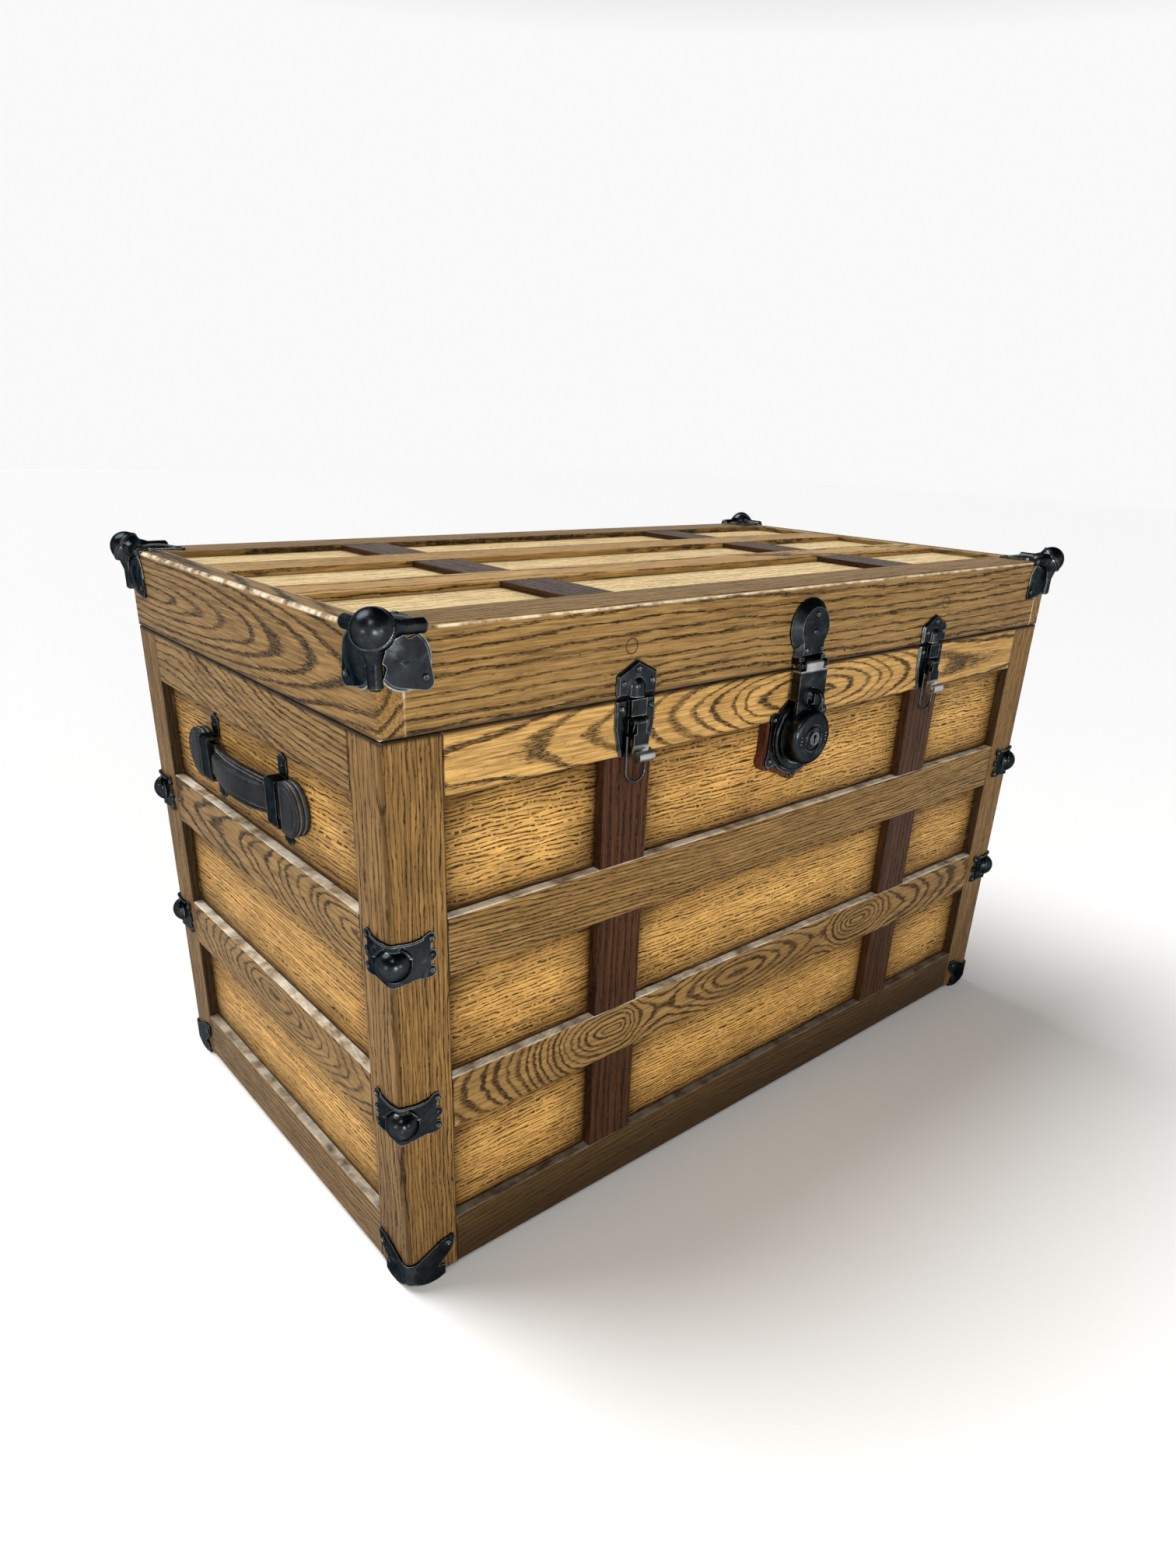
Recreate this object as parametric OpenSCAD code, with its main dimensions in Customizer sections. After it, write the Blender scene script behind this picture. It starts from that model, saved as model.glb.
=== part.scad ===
// Flat-top oak trunk with walnut strips and blackened steel hardware.
// The case stands on the soles of four corner caps, and the lid opens on three back hinges.

/* [Case] */
// Length of the case over its posts
case_w = 914; // [700:1:1200]
// Depth of the case over its posts
case_d = 503; // [420:1:650]
// Height of the case without its lid
case_h = 503; // [460:1:600]
// Thickness of the wall panels
wall_t = 10; // [7:0.5:12]
// Thickness of the bottom board
bottom_t = 12; // [8:0.5:18]
// Thickness of the posts, rails and slats on the walls
frame_t = 9.5; // [8:0.5:12]
// Width of a post on the front and back
post_w = 51; // [46:1:70]
// Width of a post on the ends
post_d = 48.5; // [46:0.5:70]
// Height of the top rails
top_rail_h = 49; // [47:1:60]
// Height of the bottom rails
bottom_rail_h = 52.5; // [40:0.5:70]
// Height of the slats round the case
slat_h = 52; // [45:1:60]
// Height of the lower slats' bottom edges
lower_slat_z = 151.5; // [130:0.5:170]
// Drop from the case's top to the upper slats' bottom edges
upper_slat_drop = 201.5; // [201:0.5:233]

/* [Lid] */
// Height of the lid
lid_h = 76.4; // [75:0.1:110]
// Gap between the case and the closed lid
lid_gap = 0.6; // [0.4:0.1:1.5]
// Thickness of the lid's end boards
lid_end_t = 21; // [18:0.5:26]
// Thickness of the lid's front and back boards
lid_side_t = 19; // [15:0.5:24]
// Thickness of the lid's top panel
lid_panel_t = 8; // [6:0.5:12]
// Thickness of the rails and slats on the lid's top
lid_rail_t = 6; // [4:0.5:9]
// Width of the lid's front and back rails
lid_rail_w = 54; // [45:1:75]
// Width of the lengthwise slats on the lid
lid_slat_w = 53; // [35:1:60]

/* [Walnut strips] */
// Width of a walnut strip
strip_w = 52; // [35:1:60]
// Distance of a strip's middle from the trunk's middle
strip_x = 224; // [190:1:260]
// How far a strip lies below the oak round it
strip_drop = 0.6; // [0.3:0.1:2]

/* [Edges] */
// Rounding of the case's upright corners
case_arris = 5; // [3:0.5:8]
// Rounding of the lid's outer edges
lid_arris = 4; // [2.5:0.5:5]
// Rounding of the edges where the lid meets the case
seam_arris = 2.2; // [1:0.2:3]
// Rounding of the rails' and slats' edges
slat_arris = 1.6; // [0.8:0.2:2.5]

/* [Ball corners] */
// Diameter of the balls on the lid's corners
ball_d = 30.5; // [26:0.5:34]
// Reach of the rolled arms along the edges
arm_len = 40; // [34:0.5:46]
// Radius of the arms
arm_r = 5.4; // [4.5:0.1:7]
// Reach of a leaf's screw lobe from the corner
leaf_reach = 38; // [34:0.5:40]
// Thickness of the leaves
leaf_t = 2.2; // [1.5:0.1:3]

/* [Slat clamps] */
// Reach of a clamp along a face
clamp_w = 39; // [34:0.5:42]
// Height of a clamp
clamp_h = 37; // [32:0.5:42]
// Thickness of a clamp
clamp_t = 2; // [1.5:0.1:3]
// Radius of the bump on a clamp's corner
clamp_bump_r = 14; // [11:0.5:16]

/* [Bottom corners] */
// Height that the caps lift the wood off the floor
foot_h = 5; // [3:0.5:10]
// Thickness of the caps on the wood's faces
cap_t = 2.6; // [1.8:0.1:4]
// Height of the caps at the corner
cap_h = 25; // [20:0.5:32]
// Reach of the caps' soles along the edges
cap_w = 36; // [30:0.5:42]

/* [Latches] */
// Distance of a latch from the trunk's middle
latch_x = 220; // [185:1:270]
// Width of the latch plates
latch_w = 44; // [38:1:50]
// Thickness of the latch plates
latch_t = 2.6; // [2.2:0.1:3.5]
// Width of the bolt
bolt_w = 9; // [7:0.2:9.4]
// Length of the bolt
bolt_len = 39; // [37:0.5:41]
// Length of the lever from its pin to its lip
lever_len = 27.5; // [24:0.5:32]
// Width of the lever
lever_w = 17; // [15:0.2:18]
// Diameter of the wire in the bails
bail_wire = 2.4; // [1.8:0.1:2.6]
// Distance between the middles of a bail's legs
bail_w = 21.8; // [21:0.1:24]
// Length of a bail from its ears to the middle of its bend
bail_len = 41; // [38:0.2:46]

/* [Lock] */
// Drop from the case's top to the lock's centre
lock_drop = 66; // [63:1:72]
// Radius of the lock drum
drum_r = 27; // [25:0.5:30]
// How far the drum's face stands off the front
drum_reach = 23; // [19:0.5:27]
// Radius of the largest ring on the lock plate
ring_r = 36; // [33:0.5:38]
// Width of the hasp
hasp_w = 40; // [37:1:44]
// Thickness of the hasp
hasp_t = 3; // [2.5:0.1:3.5]
// How far the hasp's face stands off the front
hasp_reach = 14; // [13:0.5:17]
// How far the hasp's eye stands off the front
eye_reach = 29.4; // [26:0.2:34]
// Radius of the key plug
plug_r = 6.5; // [6:0.1:9]
// Radius of the round leaf above the hasp
lock_leaf_r = 27; // [25:0.5:29]

/* [Handles] */
// Drop from the case's top to the handles' middle
handle_drop = 99; // [95:1:105]
// Distance of the handles' middle behind the trunk's middle
handle_y = 11; // [-20:1:20]
// Distance between the two loops of a handle
loop_gap = 150; // [130:1:160]
// Width of a loop
loop_w = 20; // [15:0.5:24]
// Thickness of a loop
loop_t = 2; // [1.5:0.1:2.6]
// Outer height of a loop
loop_h = 43; // [40:0.5:46]
// How far a loop stands off the end panel
loop_reach = 15; // [14:0.5:18]
// Height of the handle's strap where it runs through the loops
strap_h = 30; // [26:0.5:34]
// Thickness of the strap
strap_t = 5; // [4:0.1:5]
// Height of the grip at its middle
grip_h = 38; // [36:0.5:42]
// Radius of the round ends beyond the loops
button_r = 25; // [23:0.5:27]

/* [Hinges] */
// Width of a back hinge
hinge_w = 60; // [45:1:80]
// Height of each hinge leaf
hinge_leaf_h = 34; // [25:1:42]
// Thickness of the hinge leaves
hinge_t = 2; // [1.5:0.1:2.6]
// Radius of the hinge pins
hinge_pin_r = 2; // [1.5:0.1:2.4]
// Distance of the outer hinges from the trunk's middle
hinge_x = 300; // [260:1:330]

/* [Hidden] */

$fn = 48;
eps = 0.01;
running = 0.05; // radial clearance of a pin in its bore
gap = 0.3; // clearance between pieces that move past each other
far = 80; // reach of a cutting block past a corner piece

oak = [0.66, 0.46, 0.25];
oak_panel = [0.79, 0.58, 0.31];
oak_rim = [0.55, 0.38, 0.21];
walnut = [0.25, 0.15, 0.10];
steel = [0.13, 0.15, 0.16];
bright = [0.35, 0.37, 0.38];
leather = [0.09, 0.09, 0.09];
backing = [0.38, 0.18, 0.11];

hw = case_w / 2;
hd = case_d / 2;
lid_z = case_h + lid_gap;
lid_top = lid_z + lid_h;
panel_x = hw - frame_t; // outer faces of the end panels
panel_y = hd - frame_t; // outer faces of the front and back panels
inner_x = panel_x - wall_t;
inner_y = panel_y - wall_t;
top_rail_z = case_h - top_rail_h;
upper_slat_z = case_h - upper_slat_drop;
lock_z = case_h - lock_drop;
handle_z = case_h - handle_drop;
slats_z = [lower_slat_z, upper_slat_z];
lid_panel_z = lid_top - lid_rail_t;
lid_inner_x = hw - lid_end_t;
lid_inner_y = hd - lid_side_t;
lid_row = (case_d - 2 * lid_rail_w - 2 * lid_slat_w) / 3; // width of each row of lid panels
lid_slat_y = (lid_row + lid_slat_w) / 2;
ball_r = ball_d / 2;
shift_y = (eye_reach - ball_r) / 2; // keeps the origin under the middle of the whole trunk

// Puts a piece drawn from the wood's bottom centre on its caps and over the origin
module stand() {
    translate([0, shift_y, foot_h]) children();
}

// Block between two corners
module block(low, high) {
    translate(low) cube(high - low);
}

// Draws a piece given as outline and height on the front face, growing outwards
module on_front(x = 0, z = 0, reach = 0) {
    translate([x, -hd - reach, z]) rotate([90, 0, 0]) children();
}

// The same on the left end, where the outline's x runs towards the front
module on_left(y = 0, z = 0, plane = hw) {
    translate([-plane, y, z]) rotate([0, 0, -90]) rotate([90, 0, 0]) children();
}

// Bar along X from a side profile drawn as [reach off the front, height]
module front_profile(length) {
    translate([0, -hd, 0]) rotate([90, 0, 90]) linear_extrude(length, center = true)
        mirror([1, 0]) children();
}

// The piece and its mirror image across the trunk's length
module both_x() {
    children();
    mirror([1, 0, 0]) children();
}

// The piece and its mirror image across the trunk's depth
module both_y() {
    children();
    mirror([0, 1, 0]) children();
}

// Outline round two circles and the straight lines that run from one to the other
module link(p, pr, q, qr) {
    inset = 0.004; // keeps each line's ends just inside the circles
    run = norm(q - p);
    turn = acos((pr - qr) / run);
    along = atan2(q[1] - p[1], q[0] - p[0]);
    function touch(c, r, side) = c + (r - inset) * [cos(along + side * turn), sin(along + side * turn)];
    translate(p) circle(pr);
    translate(q) circle(qr);
    polygon([touch(p, pr, 1), touch(p, pr, -1), touch(q, qr, -1), touch(q, qr, 1)]);
}

// Convex outline round three or more equal circles
module rounded(points, r) {
    polygon(points);
    for (i = [0 : len(points) - 1]) link(points[i], r, points[(i + 1) % len(points)], r);
}

// What a slope of 45 degrees takes off the face at top, round an outline that rounded() draws
// from points in counterclockwise order
module slope_cut(points, r, top, run) {
    for (i = [0 : len(points) - 1]) {
        p = points[i];
        edge = points[(i + 1) % len(points)] - p;
        translate([p[0], p[1], top]) rotate([0, 0, atan2(edge[1], edge[0])]) translate([0, -r, 0])
            rotate([45, 0, 0]) translate([-far, -far, -run / sqrt(2)]) cube([2 * far, 2 * far, far]);
    }
}

// Rectangle with rounded corners about the origin
module rounded_plan(w, d, r) {
    square([w - 2 * r, d], center = true);
    square([w, d - 2 * r], center = true);
    for (x = [-1, 1], y = [-1, 1]) translate([x * (w / 2 - r), y * (d / 2 - r)]) circle(r);
}

// Section of a rail: reach off its back along x, width along y, front edges rounded
module rail_section(t, w, r = slat_arris) {
    square([t - r, w]);
    translate([0, r]) square([t, w - 2 * r]);
    for (y = [r, w - r]) translate([t - r, y]) circle(r);
}

// Wood outline of the closed case, with its rounded corners and top edge
module case_envelope() {
    intersection() {
        linear_extrude(case_h) rounded_plan(case_w, case_d, case_arris);
        rotate([90, 0, 90]) linear_extrude(case_w, center = true) rim_plan(case_d);
        rotate([90, 0, 0]) linear_extrude(case_d, center = true) rim_plan(case_w);
    }
}

// Upright outline of the case, rounded where it meets the lid
module rim_plan(w) {
    translate([-w / 2, 0]) square([w, case_h - seam_arris]);
    translate([-w / 2 + seam_arris, 0]) square([w - 2 * seam_arris, case_h]);
    for (x = [-1, 1]) translate([x * (w / 2 - seam_arris), case_h - seam_arris])
        circle(seam_arris);
}

// Upright outline of the lid, rounded at its top and at the seam
module lid_plan(w) {
    translate([-w / 2, lid_z + seam_arris]) square([w, lid_h - seam_arris - lid_arris]);
    translate([-w / 2 + lid_arris, lid_z]) square([w - 2 * lid_arris, lid_h]);
    for (x = [-1, 1]) {
        translate([x * (w / 2 - seam_arris), lid_z + seam_arris]) circle(seam_arris);
        translate([x * (w / 2 - lid_arris), lid_top - lid_arris]) circle(lid_arris);
    }
    translate([-w / 2 + seam_arris, lid_z]) square([w - 2 * seam_arris, lid_h / 2]);
}

// Wood outline of the lid
module lid_envelope() {
    intersection() {
        translate([0, 0, lid_z]) linear_extrude(lid_h) rounded_plan(case_w, case_d, lid_arris);
        rotate([90, 0, 90]) linear_extrude(case_w, center = true) lid_plan(case_d);
        rotate([90, 0, 0]) linear_extrude(case_d, center = true) lid_plan(case_w);
    }
}

// Panels and bottom of the case
module bottom_board() {
    color(oak_panel) stand() block([-inner_x, -inner_y, 0], [inner_x, inner_y, bottom_t]);
}

module front_panel() {
    color(oak_panel) stand() block([-panel_x, -panel_y, 0], [panel_x, -inner_y, case_h]);
}

module back_panel() {
    color(oak_panel) stand() block([-panel_x, inner_y, 0], [panel_x, panel_y, case_h]);
}

module end_panel() {
    stand() block([-panel_x, -inner_y, 0], [-inner_x, inner_y, case_h]);
}

module left_panel() {
    color(oak_panel) end_panel();
}

module right_panel() {
    color(oak_panel) mirror([1, 0, 0]) end_panel();
}

// Section of the front left post from its corner, with both inner edges rounded
module post_section() {
    translate([case_arris, case_arris]) circle(case_arris);
    translate([case_arris, 0]) square([post_w - case_arris - slat_arris, frame_t]);
    translate([0, case_arris]) square([frame_t, post_d - case_arris - slat_arris]);
    translate([case_arris, slat_arris]) square([post_w - case_arris, frame_t - slat_arris]);
    translate([slat_arris, case_arris]) square([frame_t - slat_arris, post_d - case_arris]);
    translate([post_w - slat_arris, slat_arris]) circle(slat_arris);
    translate([slat_arris, post_d - slat_arris]) circle(slat_arris);
}

module post(side, front) {
    color(oak) stand() intersection() {
        case_envelope();
        scale([side, front, 1]) translate([-hw, -hd, 0]) linear_extrude(case_h) post_section();
    }
}

module front_left_post() {
    post(1, 1);
}

module front_right_post() {
    post(-1, 1);
}

module back_left_post() {
    post(1, -1);
}

module back_right_post() {
    post(-1, -1);
}

// Rail or slat on the front, between the posts
module front_bar(z, h) {
    color(oak) stand() intersection() {
        case_envelope();
        translate([0, -panel_y, z]) rotate([90, 0, 90])
            linear_extrude(case_w - 2 * post_w, center = true) mirror([1, 0]) rail_section(frame_t, h);
    }
}

// Rail or slat on the left end, between the posts
module end_bar(z, h) {
    color(oak) stand() intersection() {
        case_envelope();
        translate([-panel_x, 0, z]) rotate([90, 0, 0])
            linear_extrude(case_d - 2 * post_d, center = true) mirror([1, 0]) rail_section(frame_t, h);
    }
}

// Turns a front piece to the back of the trunk
module to_back() {
    translate([0, 2 * shift_y, 0]) mirror([0, 1, 0]) children();
}

module front_top_rail() {
    front_bar(top_rail_z, top_rail_h);
}

module back_top_rail() {
    to_back() front_top_rail();
}

module left_top_rail() {
    end_bar(top_rail_z, top_rail_h);
}

module right_top_rail() {
    mirror([1, 0, 0]) left_top_rail();
}

module front_bottom_rail() {
    front_bar(0, bottom_rail_h);
}

module back_bottom_rail() {
    to_back() front_bottom_rail();
}

module left_bottom_rail() {
    end_bar(0, bottom_rail_h);
}

module right_bottom_rail() {
    mirror([1, 0, 0]) left_bottom_rail();
}

module front_slats() {
    for (z = slats_z) front_bar(z, slat_h);
}

module back_slats() {
    to_back() front_slats();
}

module left_slats() {
    for (z = slats_z) end_bar(z, slat_h);
}

module right_slats() {
    mirror([1, 0, 0]) left_slats();
}

// Upright walnut strips, cut off by the slats that cross them
module front_walnut_strips() {
    bottoms = [bottom_rail_h, lower_slat_z + slat_h, upper_slat_z + slat_h];
    tops = [lower_slat_z, upper_slat_z, top_rail_z];
    color(walnut) stand() both_x() for (i = [0 : 2])
        block(
            [strip_x - strip_w / 2, -hd + strip_drop, bottoms[i]],
            [strip_x + strip_w / 2, -panel_y, tops[i]]
        );
}

module back_walnut_strips() {
    to_back() front_walnut_strips();
}

// Boards of the lid
module lid_end_board() {
    color(oak_rim) stand() intersection() {
        lid_envelope();
        block([-hw, -hd, lid_z], [-lid_inner_x, hd, lid_top]);
    }
}

module lid_left_board() {
    lid_end_board();
}

module lid_right_board() {
    mirror([1, 0, 0]) lid_end_board();
}

// The board and the rail above it meet in a mitre on the lid's front edge
module lid_front_board() {
    color(oak) stand() intersection() {
        lid_envelope();
        front_profile(2 * lid_inner_x) polygon([
            [0, lid_z], [0, lid_top], [-lid_rail_t, lid_panel_z],
            [-lid_side_t, lid_panel_z], [-lid_side_t, lid_z]
        ]);
    }
}

module lid_back_board() {
    to_back() lid_front_board();
}

module lid_panel() {
    color(oak_panel) stand() block(
        [-lid_inner_x, -lid_inner_y, lid_panel_z - lid_panel_t],
        [lid_inner_x, lid_inner_y, lid_panel_z]
    );
}

module lid_front_rail() {
    color(oak) stand() intersection() {
        lid_envelope();
        front_profile(2 * lid_inner_x) difference() {
            polygon([
                [0, lid_top], [-lid_rail_t, lid_panel_z],
                [-lid_rail_w, lid_panel_z], [-lid_rail_w, lid_top]
            ]);
            translate([-lid_rail_w, lid_top]) eased_edge();
        }
    }
}

// What rounding takes off an edge that points up and back
module eased_edge() {
    difference() {
        translate([-eps, -slat_arris]) square([slat_arris + eps, slat_arris + eps]);
        translate([slat_arris, -slat_arris]) circle(slat_arris);
    }
}

module lid_back_rail() {
    to_back() lid_front_rail();
}

module lid_slats() {
    color(oak) stand() both_y() translate([0, lid_slat_y - lid_slat_w / 2, lid_panel_z])
        rotate([0, -90, 0]) linear_extrude(2 * lid_inner_x, center = true)
            rail_section(lid_rail_t, lid_slat_w);
}

module lid_walnut_strips() {
    color(walnut) stand() both_x() for (row = [-1 : 1])
        translate([strip_x - strip_w / 2, row * (lid_row + lid_slat_w) - lid_row / 2, lid_panel_z])
            cube([strip_w, lid_row, lid_rail_t - strip_drop]);
}

// Ball corner: a ball, three rolled arms along the edges and a leaf on each face.
// Drawn at the origin with the wood filling the space where x, y and z are positive.
module corner_leaf() {
    tip = [leaf_reach, leaf_reach];
    root = ball_r * 0.72;
    round_r = 19; // radius of the leaf's round part
    middle = tip - [16, 16];
    crown = leaf_t * 1.1; // how far the leaf swells in its middle
    crown_r = (pow(round_r - 1, 2) + pow(crown, 2)) / (2 * crown);
    difference() {
        union() {
            linear_extrude(leaf_t) {
                link([root, root], root, middle, round_r);
                link(middle, round_r, tip, 6.4);
            }
            intersection() {
                translate([middle[0], middle[1], leaf_t + crown - crown_r]) sphere(crown_r, $fn = 180);
                translate([0, 0, leaf_t / 2]) cube(far);
            }
        }
        for (side = [0, 1]) mirror([side, -side, 0])
            translate([root + 15, arm_r - 1.5, -1]) linear_extrude(far) link([0, 0], 3.4, [14, -4], 3.4);
    }
}

module corner_arm() {
    edge = 1.6;
    flare = 6; // reach of the cone past the ball
    cylinder(arm_len - edge, r = arm_r);
    translate([0, 0, arm_len - edge]) cylinder(edge, r1 = arm_r, r2 = arm_r - edge);
    cylinder(ball_r + flare, r1 = ball_r - 3, r2 = arm_r);
}

module ball_corner() {
    difference() {
        union() {
            sphere(ball_r, $fn = 72);
            corner_arm();
            rotate([0, 90, 0]) corner_arm();
            rotate([-90, 0, 0]) corner_arm();
            mirror([0, 0, 1]) corner_leaf();
            rotate([0, -90, 0]) corner_leaf();
            rotate([90, 0, 0]) corner_leaf();
            collar();
        }
        cube(far);
    }
}

// Raised ring round the ball, facing out along the corner's diagonal
module collar() {
    rotate([0, 0, 45]) rotate([0, atan(sqrt(2)), 0]) translate([0, 0, -1])
        rotate_extrude($fn = 72) translate([ball_r - 0.4, 0]) circle(1.5);
}

module ball_corners() {
    color(steel) stand() both_x() both_y() difference() {
        translate([-hw, -hd, lid_top]) mirror([0, 0, 1]) ball_corner();
        lid_envelope();
    }
}

// Strip bent round the front left post, from low to high
module wrap(low, high, t) {
    difference() {
        translate([-hw, -hd, low]) linear_extrude(high - low) intersection() {
            translate([-t, -t]) square(far);
            union() {
                translate([case_arris, case_arris]) circle(case_arris + t);
                translate([case_arris, -t]) square(far);
                translate([-t, case_arris]) square(far);
            }
        }
        translate([-hw, -hd, low - 1]) linear_extrude(high - low + 2) {
            translate([case_arris, case_arris]) circle(case_arris);
            translate([case_arris, 0]) square(far);
            translate([0, case_arris]) square(far);
        }
    }
}

// Space behind an outline that is drawn on both faces of the front left post, from its corner
// at x = 0. The two halves meet in a mitre on the post's edge.
module both_faces(z) {
    translate([-hw, -hd, z]) for (side = [0, 1]) mirror([side, -side, 0]) intersection() {
        rotate([90, 0, 0]) linear_extrude(2 * far, center = true) children();
        rotate([0, 0, 45]) translate([-2 * far, -2 * far, -2 * far]) cube([4 * far, 2 * far, 4 * far]);
    }
}

// Outline of a clamp on one face: three ears on the outer side, hollow edges, a point at the corner
module clamp_outline() {
    ear = 5.2;
    half = clamp_h / 2;
    side = clamp_w - ear;
    over = 2 * clamp_t; // how far it runs past the corner
    difference() {
        polygon([
            [-over, -half - 1], [0, -half - 1], [4, -half], [side, -half + ear * 0.4],
            [side, half + 2], [0, half], [-over, half]
        ]);
        translate([side * 0.52, half + 37]) circle(38.6, $fn = 96);
        translate([side * 0.58, -half - 34]) circle(35.2, $fn = 96);
    }
    link([side - 5, half - 6], ear, [side - 0.4, half - ear + 2.6], ear - 0.6);
    link([side - 6, 0.4], ear, [side, 0.4], ear);
    link([side - 6, ear - half], ear, [side - 0.6, ear - half], ear);
}

module clamp(z) {
    edge = 1.1;
    lip = 2;
    lip_reach = clamp_w - 12;
    brow = clamp_bump_r + 2.6;
    difference() {
        union() {
            intersection() {
                wrap(z - clamp_h, z + clamp_h, clamp_t);
                both_faces(z) clamp_outline();
            }
            intersection() {
                wrap(z, z + clamp_h, clamp_t + edge);
                translate([-hw, -hd, z]) cube(2 * lip_reach, center = true);
                difference() {
                    both_faces(z) clamp_outline();
                    both_faces(z - lip) clamp_outline();
                }
            }
            translate([-hw + 4, -hd + 4, z - 1]) sphere(clamp_bump_r, $fn = 64);
            translate([-hw + 4, -hd + 4, z - 1]) intersection() {
                rotate([0, -90, 45]) translate([0, 0, 1]) rotate_extrude($fn = 64)
                    translate([brow - 1, 0]) circle(2);
                translate([-far, -far, brow * 0.45]) cube([2 * far, 2 * far, far]);
            }
        }
        case_envelope();
    }
}

module slat_clamps() {
    color(steel) stand() both_x() both_y() for (z = slats_z) clamp(z + slat_h / 2);
}

// Bottom corner cap: a rounded shoe under the corner and a pointed leaf up each face
module cap_outline() {
    web = 8;
    bend = [36, 28];
    link([14, 13], 13, bend, 9);
    link(bend, 9, [44, 35.2], 2.8);
    square([cap_w - 2, 9]);
    translate([-2 * cap_t, 0]) square([2 * cap_t + web, cap_h]);
}

module bottom_corner() {
    shoe_top = 8; // height above which the cap is plain sheet on the faces
    round_at = 24;
    round_r = 38;
    r = case_arris + cap_t;
    difference() {
        union() {
            intersection() {
                wrap(shoe_top, far, cap_t);
                both_faces(0) cap_outline();
            }
            intersection() {
                translate([-hw - cap_t, -hd - cap_t, -foot_h]) linear_extrude(foot_h + shoe_top + eps) {
                    translate([r, r]) circle(r);
                    translate([r, 0]) square([cap_w + cap_t - r, cap_w + cap_t]);
                    translate([0, r]) square([cap_w + cap_t, cap_w + cap_t - r]);
                }
                translate([-hw + round_at, -hd + round_at, round_at - 2]) sphere(round_r, $fn = 72);
            }
        }
        case_envelope();
    }
}

module bottom_corners() {
    color(steel) stand() both_x() both_y() bottom_corner();
}

// Back hinges: two leaves that share a pin just behind the seam
hinge_r = hinge_pin_r + 2.2;
hinge_off = hinge_r + 0.2;
hinge_z = case_h + lid_gap / 2;
hinge_parts = 5;
hinge_step = hinge_w / hinge_parts;

module hinge_barrel(first) {
    for (i = [first : 2 : hinge_parts - 1])
        translate([-hinge_w / 2 + i * hinge_step + gap / 2, 0, 0]) rotate([0, 90, 0])
            cylinder(hinge_step - gap, r = hinge_r);
}

// Leaf on the back face, growing down (-1) or up (1) from the pin
module hinge_leaf(first, way) {
    notch = hinge_r + gap;
    difference() {
        union() {
            hinge_barrel(first);
            for (i = [first : 2 : hinge_parts - 1])
                translate([-hinge_w / 2 + i * hinge_step + gap / 2, -hinge_off, way > 0 ? 0 : -notch])
                    cube([hinge_step - gap, hinge_t, notch]);
            translate([0, -hinge_off, way * notch]) rotate([-90, 0, 0]) linear_extrude(hinge_t)
                translate([0, -way * (hinge_leaf_h - notch) / 2])
                    rounded_plan(hinge_w, hinge_leaf_h - notch, 3);
        }
        translate([-hinge_w, 0, 0]) rotate([0, 90, 0])
            cylinder(2 * hinge_w, r = hinge_pin_r + running);
    }
}

module at_hinges() {
    stand() for (x = [-hinge_x, 0, hinge_x]) translate([x, hd + hinge_off, hinge_z]) children();
}

module hinge_case_leaves() {
    color(steel) at_hinges() hinge_leaf(0, -1);
}

module hinge_lid_leaves() {
    color(steel) at_hinges() hinge_leaf(1, 1);
}

module hinge_pins() {
    color(bright) at_hinges() rotate([0, 90, 0]) cylinder(hinge_w, r = hinge_pin_r, center = true);
}

// Latches: heights are measured from the top of the case
latch_top = case_h;
latch_pin_z = case_h - 19;
latch_pin_off = 6.8;
latch_pin_r = 1.5;
latch_knuckle_r = 3.9;
ear_in = 5.8;
ear_out = 8.3;
lever_t = 2.4;
lever_off = latch_pin_off + 1.8; // back of the lever's blade
bail_z = latch_pin_z - 12;
bail_off = 5.2;
bail_ear_r = 2.4;
bolt_z = latch_pin_z - 7;
keeper_z = lid_z + 1.5;
keeper_t = latch_t + 1;
latch_slope = 1.5; // slope round the faces of the plates and keepers

// Middles of the round corners of a plate and of a keeper
plate_round = 3;
plate_half = latch_w / 2 - plate_round;
plate_points = [
    [5.5 - plate_half, latch_top - 46], [plate_half - 5.5, latch_top - 46], [plate_half, latch_top - 24],
    [plate_half, latch_top - plate_round], [-plate_half, latch_top - plate_round], [-plate_half, latch_top - 24]
];
keeper_round = 3.5;
keeper_half = latch_w / 2 - keeper_round;
keeper_points = [
    [-keeper_half, keeper_z + keeper_round], [keeper_half, keeper_z + keeper_round],
    [keeper_half, keeper_z + 16.5], [0, keeper_z + 26], [-keeper_half, keeper_z + 16.5]
];

module at_latches() {
    stand() both_x() translate([latch_x, 0, 0]) children();
}

// Ear beside the lever, with a bore for the pin and one for the bail's end
module latch_ear() {
    rotate([90, 0, 90]) linear_extrude(ear_out - ear_in) mirror([1, 0]) difference() {
        union() {
            link([latch_pin_off, latch_pin_z], latch_knuckle_r - 0.3, [bail_off, bail_z], bail_ear_r);
            translate([0, bail_z - bail_ear_r]) square([bail_off, latch_pin_z - bail_z + 2 * bail_ear_r]);
        }
        translate([latch_pin_off, latch_pin_z]) circle(latch_pin_r + running);
        translate([bail_off, bail_z]) circle(bail_wire / 2 + running);
    }
}

module latch_plate() {
    slot = bolt_w / 2 + gap;
    difference() {
        union() {
            on_front() difference() {
                linear_extrude(latch_t) rounded(plate_points, plate_round);
                slope_cut(plate_points, plate_round, latch_t, latch_slope);
            }
            on_front() translate([-lever_w / 2, latch_top - 14, 0]) cube([lever_w, 14, 6.5]);
            both_x() translate([ear_in, -hd, 0]) latch_ear();
        }
        on_front(0, 0, -eps) translate([-slot, bolt_z - 16, 0]) cube([2 * slot, far, latch_t + eps]);
    }
}

module latch_plates() {
    color(steel) at_latches() latch_plate();
}

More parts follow.
